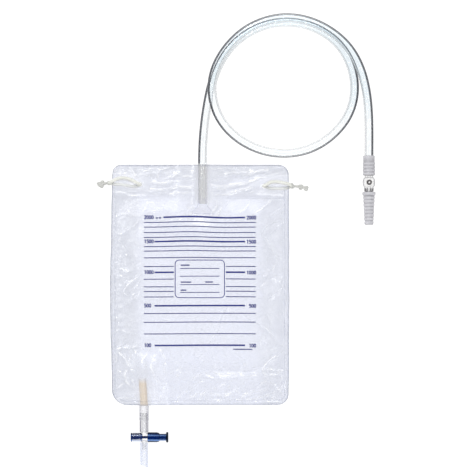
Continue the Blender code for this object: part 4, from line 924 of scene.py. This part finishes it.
class BAG_OT_stage(bpy.types.Operator):
    """Makes the white surface, the soft lights and the camera straight above"""

    bl_idname = "drainage_bag.stage"
    bl_label = "Stage"

    def execute(self, context):
        settings = context.scene.drainage_stage
        camera = new_object("camera", bpy.data.cameras.new("camera"))
        camera.data.sensor_width = SENSOR
        camera.data.lens = SENSOR * settings.distance / settings.width
        camera.location = (*VIEW_MIDDLE, settings.distance)
        context.scene.camera = camera
        context.scene.view_settings.view_transform = "Standard"

        x, y = np.meshgrid(*[np.linspace(-FLOOR_REACH, FLOOR_REACH, 13)] * 2)
        floor = grid_mesh("floor", np.stack([x, y, np.full_like(x, -FLOOR_DROP)], axis=-1))
        white = Finish("white surface", (0.16, 0.16, 0.16), 0.8, Emission_Strength=0.99)
        white.set("Emission Color", (1, 1, 1, 1))
        white.set("Specular IOR Level", 0.0)
        white.vary_roughness(0.05, 0.05)
        white.put_on(floor)
        self.sky(context)
        self.lamps()
        return {"FINISHED"}

    @staticmethod
    def sky(context):
        """A soft ring of light from 28 to 75 degrees off the zenith, brighter to one side, dark elsewhere."""
        world = bpy.data.worlds.new("studio")
        context.scene.world = world
        world.use_nodes = True
        tree = world.node_tree
        place = add_node(tree, "TexCoord", "Generated")
        strength = 1.0
        for axis, *numbers in SKY:
            part = add_node(tree, "SeparateXYZ", axis, {"Vector": place})
            inputs = {"Value": part, **dict(zip(RANGE, numbers))}
            part = add_node(tree, "MapRange", "Result", inputs, interpolation_type="SMOOTHSTEP")
            strength = add_node(tree, "Math", "Value", {0: strength, 1: part}, operation="MULTIPLY")
        background = tree.nodes["Background"]
        feed(tree, background.inputs["Strength"], strength)
        feed(tree, background.inputs["Color"], (0.97, 0.985, 1.0, 1.0))

    @staticmethod
    def lamps():
        """Strip lights a little off the zenith, so that gentle creases catch them."""
        for name, (place, size, power, aimed) in LAMPS.items():
            light = bpy.data.lights.new(name, "AREA")
            light.shape, light.energy = "RECTANGLE", power
            light.size, light.size_y = size
            lamp = new_object(name, light)
            lamp.location = place
            aim = np.array((*VIEW_MIDDLE, 0.0)) - np.array(place)
            lamp.rotation_euler = (0, -math.atan2(aim[0], -aim[2]), 0)
            if aimed:
                lean = math.atan2(math.hypot(aim[0], aim[1]), -aim[2])
                lamp.rotation_euler = (lean, 0, math.atan2(-aim[0], aim[1]))


class BAG_OT_hose(bpy.types.Operator):
    """Makes the clear inlet hose along its route, once round the loop and down to the connector"""

    bl_idname = "drainage_bag.hose"
    bl_label = "Inlet hose"

    def execute(self, context):
        settings = context.scene.drainage_hose
        path = spline_through(HOSE_ROUTE, 420)
        hose = hollow_tube("clear_hose", path, HOSE_RADIUS, settings.bore)
        settle(hose, self.finish(settings), "bag", "hose", "inlet_hose")
        return {"FINISHED"}

    @staticmethod
    def finish(settings):
        """Clear wall with a painted shadow edge on, strongest on the outer side of the bend, bluer round the
        loop's far side and warmer and greyer inside the bag.
        """
        finish = Finish("clear hose", settings.colour, 0.02, Transmission_Weight=1.0, IOR=1.33)
        across, along = finish.at("X"), finish.at("Y")
        finish.over(finish.ramp(along, 0.235, 0.325), (0.945, 0.978, 0.998))
        far_side = finish.times(finish.ramp(across, 0.115, 0.150), finish.ramp(along, 0.215, 0.250))
        finish.over(far_side, (0.918, 0.954, 0.975))
        finish.over(finish.ramp(along, TOP - 0.001, TOP + 0.001, 1.0, 0.0), (0.938, 0.932, 0.900))
        # Painted shadow: a dark edge where the wall turns away, strongest on the bend's outer side and where
        # the pipe runs along the bag, fainter inside the bag.
        painted_shadow_edge = finish.maths("MULTIPLY_ADD", finish.attribute("lengthwise"), 0.13, finish.edge_on())
        rim = finish.ramp(painted_shadow_edge, 0.31, 0.47)
        rim = finish.times(rim, finish.ramp(finish.attribute("side"), -0.2, 0.5, 0.42, 1.0))
        rim = finish.times(rim, finish.ramp(along, TOP - 0.001, TOP + 0.002, 0.30, 1.0))
        finish.over(rim, (0.008, 0.009, 0.013))
        finish.vary_roughness(0.004, 0.01)
        return finish


class BAG_OT_cords(bpy.types.Operator):
    """Makes the two knotted hanging cords through the holes in the header"""

    bl_idname = "drainage_bag.cords"
    bl_label = "Hanging cords"

    @staticmethod
    def strand(name, hole, side, over, under, knot, settings):
        """Twisted cord: a three-lobed ring that turns as it goes, from the knot over the film and back."""
        above = np.column_stack([over, front_height(*over.T, settings) + FILM / 2 + STRAND_RADIUS])
        below = np.column_stack([under, np.full(len(under), STRAND_RADIUS + SLACK)])
        turn = (hole[0] - side * 0.0004, hole[1], (above[-1, 2] + below[-1, 2]) / 2)
        path = spline_through([knot, *above, turn, *below[::-1], np.subtract(knot, (0, 0, 0.0006))], 260)
        phase = 1.5 * (ring_angles(24)[None, :] - distances(path)[:, None] * 2 * np.pi / TWIST)
        radius = STRAND_RADIUS * (0.84 + 0.16 * np.abs(np.cos(phase)) ** 0.8)
        return solid_tube(name, path, radius, 24, up=(0.0, 1.0, 0.0)), path

    @staticmethod
    def knots(name, knots, tail):
        """Small knots: each a three-lobed closed curve with a cord's thickness, and the cord between them."""
        t = ring_angles(90)
        loops = []
        for centre, size, turn in knots:
            scale = (size / 2 - CORD_RADIUS) / 3
            x, y = scale * (np.sin(t) + 2 * np.sin(2 * t)), scale * (np.cos(t) - 2 * np.cos(2 * t))
            x, y = x * math.cos(turn) - y * math.sin(turn), x * math.sin(turn) + y * math.cos(turn)
            path = np.stack([x, y, -0.9 * scale * np.sin(3 * t)], axis=-1) + np.array(centre)
            rings = tube_grid(np.concatenate([path[-2:], path, path[:2]]), CORD_RADIUS, 14)[2:-2]
            loops.append(grid_mesh("loop", rings, wrap_rows=True, wrap_columns=True))
        return merged(name, [*loops, solid_tube("tail", spline_through(tail, 30), CORD_RADIUS, 14)])

    @staticmethod
    def finish(name, colour):
        """Soft mottled yarn, with painted shade in the grooves between its strands."""
        finish = Finish(name, colour, 0.85, Sheen_Weight=0.3)
        finish.over(finish.patches(0.0012, 0.35, 0.65, 0.7, 2.0), shade(colour, 0.80))
        # Painted shade in the grooves.
        finish.over(finish.crevice(), shade(colour, 0.33))
        finish.grain(0.0005, 0.0002, 0.8)
        return finish

    def execute(self, context):
        settings = context.scene.drainage_bag
        yarn = self.finish("cream cord", (0.86, 0.86, 0.80))
        # The knots' yarn is painted darker all over: painted shade.
        shaded_knot = self.finish("handled cord", (0.62, 0.62, 0.59))
        # Painted light: the strand under the films is painted paler, against the shade the films cast on it.
        low = yarn.ramp(yarn.at("Z"), 0.0036, 0.0046, 1.0, 0.0)
        under_film = yarn.ramp(yarn.maths("ABSOLUTE", yarn.at("X")), 0.096, 0.099, 1.0, 0.0)
        yarn.over(yarn.times(low, under_film), (1.0, 1.0, 0.95))
        for side, hole, over, under, knots, tail, sign in (
            ("left", LEFT_HOLE, LEFT_FRONT_STRAND, LEFT_BACK_STRAND, LEFT_KNOTS, LEFT_TAIL, -1),
            ("right", RIGHT_HOLE, RIGHT_FRONT_STRAND, RIGHT_BACK_STRAND, RIGHT_KNOTS, RIGHT_TAIL, 1),
        ):
            cord, path = self.strand(f"cord_{side}", hole, sign, over, under, knots[0][0], settings)
            tied = self.knots(f"knots_{side}", knots, tail)
            settle(cord, yarn, "bag", "cream_cord", f"hanging_cord_{side}")
            settle(tied, shaded_knot, "bag", "cream_cord")
        return {"FINISHED"}


class BAG_OT_films(bpy.types.Operator):
    """Makes the creased front film and the back film, with their hanging holes"""

    bl_idname = "drainage_bag.films"
    bl_label = "Films"

    def execute(self, context):
        settings = context.scene.drainage_bag
        for side, coarse in (("front", FRONT_GRID), ("back", BACK_GRID)):
            x, y, kept = film_grid(coarse)
            left, right = film_edges(TOP - y)
            edge = np.minimum(np.minimum(x - left, right - x), np.minimum(TOP - y, y - BOTTOM))
            values = {
                "edge": np.exp(-np.maximum(edge, 0) / 0.0006), "doubled_shade": doubled_shade(x, y), "weld": weld_line(x, y),
                "pressed": pressed(x, y),
            }
            if side == "front":
                z = front_height(x, y, settings)
                values["crest"] = crest(x, y, slack_height(x, y, settings)) * welded(x, y) * calm(x, y)
            else:
                z = back_height(x, y)
            film = grid_mesh(f"{side}_skin", np.stack([x, y, z], axis=-1), kept=kept, values=values)
            thicken(film, settings.film, 0.0)
            settle(film, film_finish(f"{side} skin film", settings), "bag", "film", f"{side}_film")
        return {"FINISHED"}


class BAG_OT_inner_valve(bpy.types.Operator):
    """Makes the film sleeve on the hose's inner end that presses itself shut"""

    bl_idname = "drainage_bag.inner_valve"
    bl_label = "Non-return valve"

    def execute(self, context):
        length, grip, shut = VALVE_OVERLAP + VALVE_FLAP_LENGTH, HOSE_RADIUS + SLACK, 0.0006
        t, angle = np.linspace(0, 1, 40)[:, None], ring_angles(56)[None, ::-1]
        flat = smooth_step((t * length - VALVE_OVERLAP) / VALVE_FLAP_LENGTH)
        x = INLET_X + (grip + (VALVE_FLAP_HALF_WIDTH - grip) * flat) * np.cos(angle)
        y = np.broadcast_to(TOP - INLET_INSIDE + VALVE_OVERLAP - length * t, x.shape)
        z = INLET_HEIGHT - grip + 0.0002 + (grip + (shut - grip) * flat) * (1 + np.sin(angle))
        rim = 0.9 * np.maximum(np.abs(np.cos(angle)) ** 12, smooth_step((t - 0.93) / 0.05))
        points = np.stack([x, y, z], axis=-1)
        sleeve = grid_mesh("flap_sleeve", points, wrap_columns=True, values={"crest": rim})
        thicken(sleeve, 0.0002, 1.0)
        finish = Finish("valve sleeve", (0.985, 0.985, 0.995), 0.06, Transmission_Weight=1.0, IOR=1.10)
        finish.over(finish.ramp(finish.attribute("crest"), 0.2, 0.8), (0.86, 0.86, 0.90))
        finish.grain(0.004, 0.0006, 0.6)
        finish.vary_roughness(0.003, 0.03)
        settle(sleeve, finish, "bag", "valve_film", "non_return_valve")
        return {"FINISHED"}


class BAG_OT_scale(bpy.types.Operator):
    """Prints the volume lines, their figures and the writing panel on the front film"""

    bl_idname = "drainage_bag.scale"
    bl_label = "Printed scale"

    def draped(self, name, pieces, ink, *nodes):
        """Flat ribbons laid on the film: each point keeps its place in plan and takes the film's height."""
        ribbons = []
        for plan in pieces:
            z = self.top(plan[..., 0], plan[..., 1]) + self.lift
            ribbons.append(grid_mesh("ribbon", np.concatenate([plan, z[..., None]], axis=-1)))
        obj = merged(name, ribbons, face_up=True)
        thicken(obj, INK_DEPTH, 1.0)
        settle(obj, ink, "bag", "blue_ink", *nodes)

    @staticmethod
    def line(start, end, drop, width):
        """A level line, a little bowed as the print followed the film: rows across it, columns along it."""
        x = np.linspace(start, end, max(2, int((end - start) / 0.0007)))
        bow = 0.0008 * (np.sin((x + 0.02) / 0.034) * 0.45 - x / 0.12 * 0.5)
        bulge = 0.0009 * np.exp(-(((x + 0.013) / 0.024) ** 2))
        bulge = bulge - 0.0007 * np.exp(-(((x - 0.028) / 0.022) ** 2))
        y = TOP - drop + bow + bulge * (1 - smooth_step((drop - 0.055) / 0.085))
        rows = np.array([-0.5, 0.0, 0.5])[:, None] * width
        return np.stack([np.broadcast_to(x, (3, x.size)), y + rows], axis=-1)

    @staticmethod
    def figures(text, left, drop, height):
        """Figures built from pen strokes, each a line through its points, widened square to itself."""
        turn = np.linspace(0, 2 * np.pi, 30)
        shapes = {"0": [np.stack([0.3 + 0.21 * np.cos(turn), 0.5 + 0.41 * np.sin(turn)], axis=-1)], **FIGURES}
        ribbons = []
        for place, sign in enumerate(text):
            origin = np.array((left + FIGURE_STEP * height * place, TOP - drop - height / 2))
            for stroke in shapes[sign]:
                path = spline_through(stroke, 28) if sign != "0" and len(stroke) > 2 else np.array(stroke)
                run = np.gradient(path, axis=0)
                run /= np.linalg.norm(run, axis=1, keepdims=True)
                across = np.stack([-run[:, 1], run[:, 0]], axis=-1)
                rows = np.array([-0.5, 0.5])[:, None, None] * FIGURE_PEN
                ribbons.append((path + rows * across) * height + origin)
        return ribbons

    @staticmethod
    def panel():
        """The writing panel's frame: a rectangle with rounded corners, widened square to itself."""
        half_height = (PANEL_BOTTOM - PANEL_TOP) / 2
        turn = np.linspace(0, 2 * np.pi, 121)
        circle = np.stack([np.cos(turn), np.sin(turn)], axis=-1)
        straight = np.array((PANEL_HALF_WIDTH - PANEL_RADIUS, half_height - PANEL_RADIUS))
        outline = evenly(np.clip(circle * 1e3, -1, 1) * straight + PANEL_RADIUS * circle, 200)
        outward = outline - np.clip(outline, -straight, straight)
        outward /= np.maximum(np.linalg.norm(outward, axis=1, keepdims=True), 1e-9)
        rows = np.array([-0.5, 0.5])[:, None, None] * MINOR_WIDTH
        return outline + rows * outward + np.array((0.0, TOP - (PANEL_TOP + PANEL_BOTTOM) / 2))

    def execute(self, context):
        settings, film = context.scene.drainage_print, context.scene.drainage_bag
        self.top, self.lift = FilmTop(film), film.film / 2 + INK_LIFT
        inks = []
        for name, colour in (("strong ink", settings.colour), ("light ink", (0.050, 0.058, 0.190))):
            ink = Finish(name, colour, 0.5)
            ink.over(ink.patches(0.0022, 0.45, 0.75, 0.5), tuple(min(1.0, c * 1.5 + 0.03) for c in colour))
            ink.vary_roughness(0.003, 0.08)
            inks.append(ink)
        strong, light = inks

        stop = PANEL_HALF_WIDTH + PANEL_CLEAR
        minors = {i + 1: drop for i, drop in enumerate(MINORS)}
        for kind, drops, half, width, ink in (
            ("major", MAJORS, MAJOR_HALF, MAJOR_WIDTH, strong),
            ("minor", minors, MINOR_HALF, MINOR_WIDTH, light),
        ):
            ribbons, nodes = [], []
            for key, drop in drops.items():
                start, node = -half + (UNIT_ROOM if key == "2000" else 0), f"{kind}_line_{key}"
                parts = {node: (start, half)}
                if PANEL_TOP < drop < PANEL_BOTTOM:
                    parts = {f"{node}_left": (start, -stop), f"{node}_right": (stop, half)}
                nodes += parts
                ribbons += [self.line(*ends, drop, width * INK_SPREAD) for ends in parts.values()]
            self.draped(f"{kind}_lines", ribbons, ink, *nodes)

        self.draped("writing_panel", [self.panel()], strong, "panel_frame")
        writing = [self.line(-WRITING_HALF, WRITING_HALF, drop, MINOR_WIDTH) for drop in WRITING_DROPS]
        self.draped("writing_lines", writing, light, *[f"writing_line_{i + 1}" for i in range(len(writing))])
        figures = []
        for text, drop in MAJORS.items():
            right = MINOR_HALF + FIGURE_EDGE - FIGURE_STEP * settings.digit * len(text)
            for left, nudge in ((FIGURE_NUDGE - MINOR_HALF, -FIGURE_NUDGE), (right, FIGURE_NUDGE)):
                figures += self.figures(text, left, drop + nudge, settings.digit)
        self.draped("figures", figures, strong)
        self.draped("short_marks", [self.line(*mark) for mark in SHORT_MARKS], light)
        return {"FINISHED"}


class BAG_OT_outlet(bpy.types.Operator):
    """Makes the outlet stub, its sleeve, the drain valve with its spool, and the spout"""

    bl_idname = "drainage_bag.outlet"
    bl_label = "Outlet and drain valve"

    @staticmethod
    def moulding():
        """The valve's clear plastic: painted shade down both walls of its neck, and on its barrel a painted
        highlight along the lower side and a fainter one along the upper.

        A real barrel magnifies the blue spool inside it; here its upper wall is painted navy in the spool's
        place, a painted refraction.
        """
        edge = (0.20, 0.19, 0.25)
        finish = clear_finish("clear moulding", (0.36, 0.36, 0.46), 0.015, edge, (0.34, 0.78), 0.70)
        neck = finish.band("Y", VALVE_Y + 0.0056, BOTTOM)
        finish.over(neck, (0.46, 0.46, 0.54), 0.105)
        barrel = finish.band("X", OUTLET_X - 0.0140, OUTLET_X - 0.0032)
        # Rows: painted shade down the neck's left and right walls, painted highlights low and high on the
        # barrel, and the spool's painted image along the barrel's top.
        for part, axis, middle, low, high, colour, cover in (
            (neck, "X", OUTLET_X, -0.0062, -0.0034, (0.13, 0.12, 0.18), 0.56),
            (neck, "X", OUTLET_X, 0.0022, 0.0062, (0.32, 0.31, 0.38), 0.34),
            (barrel, "Y", VALVE_Y, -0.0058, -0.0022, (0.70, 0.76, 0.92), 0.62),
            (barrel, "Y", VALVE_Y, 0.0018, 0.0030, (0.50, 0.57, 0.80), 0.24),
            (barrel, "Y", VALVE_Y, 0.0036, 0.0058, (0.012, 0.022, 0.075), 0.70),
        ):
            finish.over(finish.times(part, finish.band(axis, middle + low, middle + high)), colour, cover)
        return finish

    @staticmethod
    def aged(colour):
        """The stub's yellowed plastic: paler where it stands outside the bag and at its inner end."""
        finish = Finish("aged tube", colour, 0.35, IOR=1.45)
        finish.over(finish.patches(0.006, 0.4, 0.7, 0.6), (1.0, 0.90, 0.74))
        along = finish.at("Y")
        finish.over(finish.ramp(along, BOTTOM - 0.0006, BOTTOM + 0.0004, 1.0, 0.0), (1.0, 0.99, 1.0))
        finish.over(finish.ramp(along, BOTTOM + 0.024, BOTTOM + 0.029, 0.0, 0.8), (1.0, 0.99, 0.98))
        finish.vary_roughness(0.004, 0.08)
        return finish

    @staticmethod
    def blue(colour):
        """Glossy blue with painted shade edge on, on the flange and in its crevices, and painted highlight
        bands along its lower and upper side.
        """
        tint = (0.34, 0.60, 1.0, 1.0)
        finish = Finish("blue moulding", colour, 0.12, Specular_IOR_Level=0.22, Specular_Tint=tint)
        finish.over(finish.patches(0.003, 0.4, 0.7, 0.5), shade(colour, 1.5))
        # Painted shade: darker edge on and over the flange.
        finish.over(finish.ramp(finish.edge_on(), 0.05, 0.42, 0.0, 0.95), shade(colour, 0.15))
        finish.over(finish.band("X", OUTLET_X + 0.0246, OUTLET_X + 0.0300), shade(colour, 0.15))
        along = finish.band("X", OUTLET_X - 0.0200, OUTLET_X + 0.0246)
        # Painted highlights: light-blue bands low and high along barrel, cap and spool.
        for low, high, share in ((-0.0040, -0.0024, 0.75), (0.0018, 0.0030, 0.42)):
            painted_highlight = finish.times(finish.band("Y", VALVE_Y + low, VALVE_Y + high), share)
            finish.over(finish.times(painted_highlight, along), (0.24, 0.40, 0.80))
        # Painted shade in the crevices.
        finish.over(finish.crevice(), shade(colour, 0.35))
        finish.vary_roughness(0.002, 0.06)
        finish.grain(0.004, 0.00008, 0.4)
        return finish

    @staticmethod
    def body():
        """The cross: barrel, neck, spigot and nipple joined, with the bore and both passages cut out."""
        shoulder = VALVE_DROP - SLEEVE_LENGTH - 2 * GAP
        neck = [(0, 0.0059), (0.00495, 0.0059), (0.00495, shoulder), (0, shoulder)]
        joined = [
            rod("core", VALVE, "Y", 0.0036, 0.0, 0.0125), turned("neck", neck, VALVE, "Y", 0.0004),
            rod("spigot", VALVE, "Y", STUB_RADIUS, 0.0100, shoulder + 0.0082),
            rod("nipple", VALVE, "Y", 0.00245, -0.0136, 0.0),
        ]
        inlet = rod("inlet", VALVE, "Y", 0.0025, 0.0003, 0.0400, 41)
        drain = rod("drain", VALVE, "Y", 0.00145, -0.0200, -0.0003, 37)
        bore = carved(rod("bore", VALVE, "X", 0.0042, -0.0153, 0.0100, 72), joined=[inlet, drain])
        return carved(turned("valve_shell", BARREL, VALVE, "X", 0.0003), joined=joined, cut=[bore])

    @staticmethod
    def spout():
        """A drooping pipe cut on a slant: its rings below the slanted plane are drawn up to it."""
        top, tip = VALVE_Y - 0.0056 - GAP, BOTTOM - OUTLET_DROP
        path = spline_through(
            [
                (OUTLET_X, top, OUTLET_HEIGHT), (OUTLET_X, top - 0.0080, OUTLET_HEIGHT),
                (OUTLET_X, (top - 0.0080 + tip) / 2, OUTLET_HEIGHT - 0.00064),
                (OUTLET_X, tip - 0.003, OUTLET_HEIGHT - 0.0016),
            ],
            60,
        )
        grid = np.concatenate([tube_grid(path, SPOUT_RADIUS, 40), tube_grid(path, SPOUT_BORE, 40)[::-1]])
        slant = tip + 0.0034 * (0.5 - (grid[..., 0] - OUTLET_X) / (2 * SPOUT_RADIUS))
        grid[..., 1] = np.maximum(grid[..., 1], slant)
        return grid_mesh("spout_tube", grid, wrap_rows=True, wrap_columns=True, merge=True, sharp=PIPE_SHARP)

    def execute(self, context):
        settings = context.scene.drainage_fitting
        soft = clear_finish("clear sleeve", (0.70, 0.71, 0.81), 0.035, (0.34, 0.33, 0.40), (0.28, 0.68), 0.62)
        soft.over(soft.band("Y", BOTTOM - OUTLET_DROP, VALVE_Y), (0.44, 0.52, 0.78), 0.055)
        sink = OUTLET_HEIGHT - STUB_RADIUS - FILM - GAP - SLACK
        route = [
            (OUTLET_X, BOTTOM - STUB_OUTSIDE, OUTLET_HEIGHT), (OUTLET_X, BOTTOM, OUTLET_HEIGHT),
            (OUTLET_X - STUB_LEAN * 0.45, BOTTOM + STUB_INSIDE * 0.5, OUTLET_HEIGHT - sink * 0.5),
            (OUTLET_X - STUB_LEAN, BOTTOM + STUB_INSIDE, OUTLET_HEIGHT - sink),
        ]
        stub = hollow_tube("stub_tube", spline_through(route, 50), STUB_RADIUS, STUB_RADIUS - STUB_WALL)
        settle(stub, self.aged(settings.stub), "bag", "yellowed_tube", "outlet_stub")

        inner, lip, wall = STUB_RADIUS + GAP * 0.4, SLEEVE_RADIUS + 0.0001, SLEEVE_RADIUS - 0.0002
        low = -SLEEVE_LENGTH
        profile = [
            (inner, low - GAP), (lip, low - GAP), (lip, low + 0.0012), (wall, low + 0.0016), (wall, -GAP),
            (inner, -GAP),
        ]
        sleeve = turned("sleeve_tube", profile, (OUTLET_X, BOTTOM, OUTLET_HEIGHT), "Y", 0.0003)
        settle(sleeve, soft, "bag", "clear_plastic", "outlet_sleeve")
        settle(self.body(), self.moulding(), "bag", "clear_plastic", "valve_body")
        blue = self.blue(settings.blue)
        settle(turned("blue_cap", CAP, VALVE, "X", 0.0003), blue, "bag", "blue_plastic", "valve_cap")
        settle(turned("blue_spool", SPOOL, VALVE, "X", 0.00025), blue, "spool", "blue_plastic", "valve_spool")
        settle(self.spout(), soft, "bag", "clear_plastic", "drain_spout")
        return {"FINISHED"}


class BAG_OT_connector(bpy.types.Operator):
    """Makes the grip sleeve, the sampling port and the stepped catheter adapter on the hose's end"""

    bl_idname = "drainage_bag.connector"
    bl_label = "Connector"

    @staticmethod
    def frosted(colour):
        """Frosted plastic, with painted shade edge on and in its grooves."""
        finish = Finish("frosted plastic", colour, 0.34, Transmission_Weight=0.22, IOR=1.45)
        finish.over(finish.patches(0.003, 0.4, 0.7, 0.6), shade(colour, 1.08))
        # Painted shade edge on and in the grooves.
        finish.over(finish.ramp(finish.edge_on(), 0.40, 0.85, 0.0, 0.8), (0.44, 0.43, 0.46))
        finish.over(finish.ramp(finish.attribute("groove"), 0.2, 0.9, 0.0, 0.6), (0.44, 0.43, 0.46))
        finish.vary_roughness(0.002, 0.08)
        finish.grain(0.0012, 0.00006, 0.6)
        return finish

    @staticmethod
    def clear():
        """The port's clear plastic, with painted shade on its lower collar where it turns away."""
        edge = (0.13, 0.12, 0.13)
        finish = clear_finish("clear connector", (0.58, 0.57, 0.59), 0.12, edge, (0.26, 0.76), 0.80)
        # Painted shade on the lower collar, edge on.
        collar = finish.band("Y", CONNECTOR[1] + 0.0365, CONNECTOR[1] + 0.0410)
        thick = finish.ramp(finish.edge_on(), 0.02, 0.24)
        finish.over(finish.times(collar, thick), (0.075, 0.065, 0.075), 0.60)
        return finish

    @staticmethod
    def rubber():
        """Dark rubber with a pale middle."""
        finish = Finish("grey rubber", (0.060, 0.052, 0.052), 0.5)
        finish.over(finish.patches(0.0008, 0.45, 0.7, 1.0), (0.12, 0.11, 0.11))
        finish.over(finish.ramp(finish.attribute("middle"), 0.58, 0.74), (0.85, 0.84, 0.83))
        finish.grain(0.0006, 0.00008, 0.7)
        return finish

    @staticmethod
    def grip():
        """The grip sleeve's profile: four rounded ribs on a thin wall."""
        foot = 0.0553
        profile = [(0.0051, foot), (0.0061, foot)]
        for rib in range(4):
            crest = foot + 0.0019 + 0.0038 * rib
            for radius, along in ((0.0064, -0.0016), (0.00695, -0.0006), (0.00695, 0.0006), (0.0064, 0.0016)):
                profile.append((radius, crest + along))
        return [*profile, (0.0065, 0.0770), (0.0061, 0.0776), (0.0051, 0.0776)]

    @staticmethod
    def nozzle():
        """The adapter's profile: steps that widen towards the flange, each with a shallow groove above it."""
        profile, pitch = [*NOZZLE_TIP], (NOZZLE_LENGTH - 0.0010) / NOZZLE_STEPS
        for number in reversed(range(NOZZLE_STEPS)):
            high = NOZZLE_LENGTH - number * pitch
            radius = 0.00495 + 0.00155 * high / NOZZLE_LENGTH
            for depth, share in ((0, 0.85), (0, 0.35), (0.00042, 0.22), (0.00042, 0.05)):
                profile.append((radius - depth, high - pitch * share))
        return [*profile, *NOZZLE_FLANGE]

    def execute(self, context):
        settings = context.scene.drainage_fitting
        port = (CONNECTOR[0], CONNECTOR[1] + PORT_ALONG, CONNECTOR[2])
        sleeve = turned("grip_sleeve", self.grip(), CONNECTOR, "Y", 0.0003)
        angle = np.linspace(-1.45, 1.45, 25)[1:]
        swell = np.stack([0.0046 + 0.0024 * np.cos(angle), PORT_ALONG + 0.0056 * np.sin(angle)], axis=-1)
        body = turned("port_body", [*PORT_FOOT, *swell, *PORT_NECK], CONNECTOR, "Y")
        turret = turned("turret", PORT_TURRET, port, "Z", 0.0002)
        duct = rod("duct", port, "Z", 0.00145, 0.0, 0.0043, 36)
        pocket = carved(rod("pocket", port, "Z", 0.0032, 0.0038, 0.0090), joined=[duct])
        white = Finish("white ring", (0.86, 0.85, 0.84), 0.35)
        white.vary_roughness(0.0015, 0.1)
        white.grain(0.001, 0.00004, 0.5)
        frosted = self.frosted(settings.frosted)
        ring = turned("port_ring", PORT_RING, port, "Z", 0.0003)
        stopper = turned("port_stopper", STOPPER, port, "Z", 0.0003)
        adapter = turned("stepped_adapter", self.nozzle(), CONNECTOR, "Y", 0.0002)
        for obj, finish, slot, node in (
            (sleeve, frosted, "frosted_plastic", "connector_sleeve"),
            (carved(body, joined=[turret], cut=[pocket]), self.clear(), "clear_plastic", "connector_body"),
            (ring, white, "white_plastic", "sample_port_ring"),
            (stopper, self.rubber(), "grey_rubber", "sample_port_septum"),
            (adapter, frosted, "frosted_plastic", "catheter_adapter"),
        ):
            settle(obj, finish, "bag", slot, node)
        return {"FINISHED"}


class BAG_PT_panel(bpy.types.Panel):
    """Lists the pieces in the order in which they are made"""

    bl_idname = "BAG_PT_panel"
    bl_label = "Drainage bag"
    bl_space_type = "VIEW_3D"
    bl_region_type = "UI"
    bl_category = "Drainage bag"

    def draw(self, context):
        for operator in OPERATORS:
            self.layout.operator(operator.bl_idname)


OPERATORS = (
    BAG_OT_stage, BAG_OT_connector, BAG_OT_hose, BAG_OT_cords, BAG_OT_films, BAG_OT_inner_valve, BAG_OT_scale,
    BAG_OT_outlet,
)
SETTINGS = {
    "drainage_bag": BagSettings, "drainage_hose": HoseSettings, "drainage_print": PrintSettings,
    "drainage_fitting": FittingSettings, "drainage_stage": StageSettings,
}


def register():
    for group in (*SETTINGS.values(), *OPERATORS, BAG_PT_panel):
        bpy.utils.register_class(group)
    for name, group in SETTINGS.items():
        setattr(bpy.types.Scene, name, PointerProperty(type=group))


def unregister():
    for name in SETTINGS:
        delattr(bpy.types.Scene, name)
    for group in reversed((*SETTINGS.values(), *OPERATORS, BAG_PT_panel)):
        bpy.utils.unregister_class(group)


def main():
    register()
    bpy.ops.drainage_bag.stage()
    bpy.ops.drainage_bag.connector()
    bpy.ops.drainage_bag.hose()
    bpy.ops.drainage_bag.cords()
    bpy.ops.drainage_bag.films()
    bpy.ops.drainage_bag.inner_valve()
    bpy.ops.drainage_bag.scale()
    bpy.ops.drainage_bag.outlet()


if __name__ == "__main__":
    main()
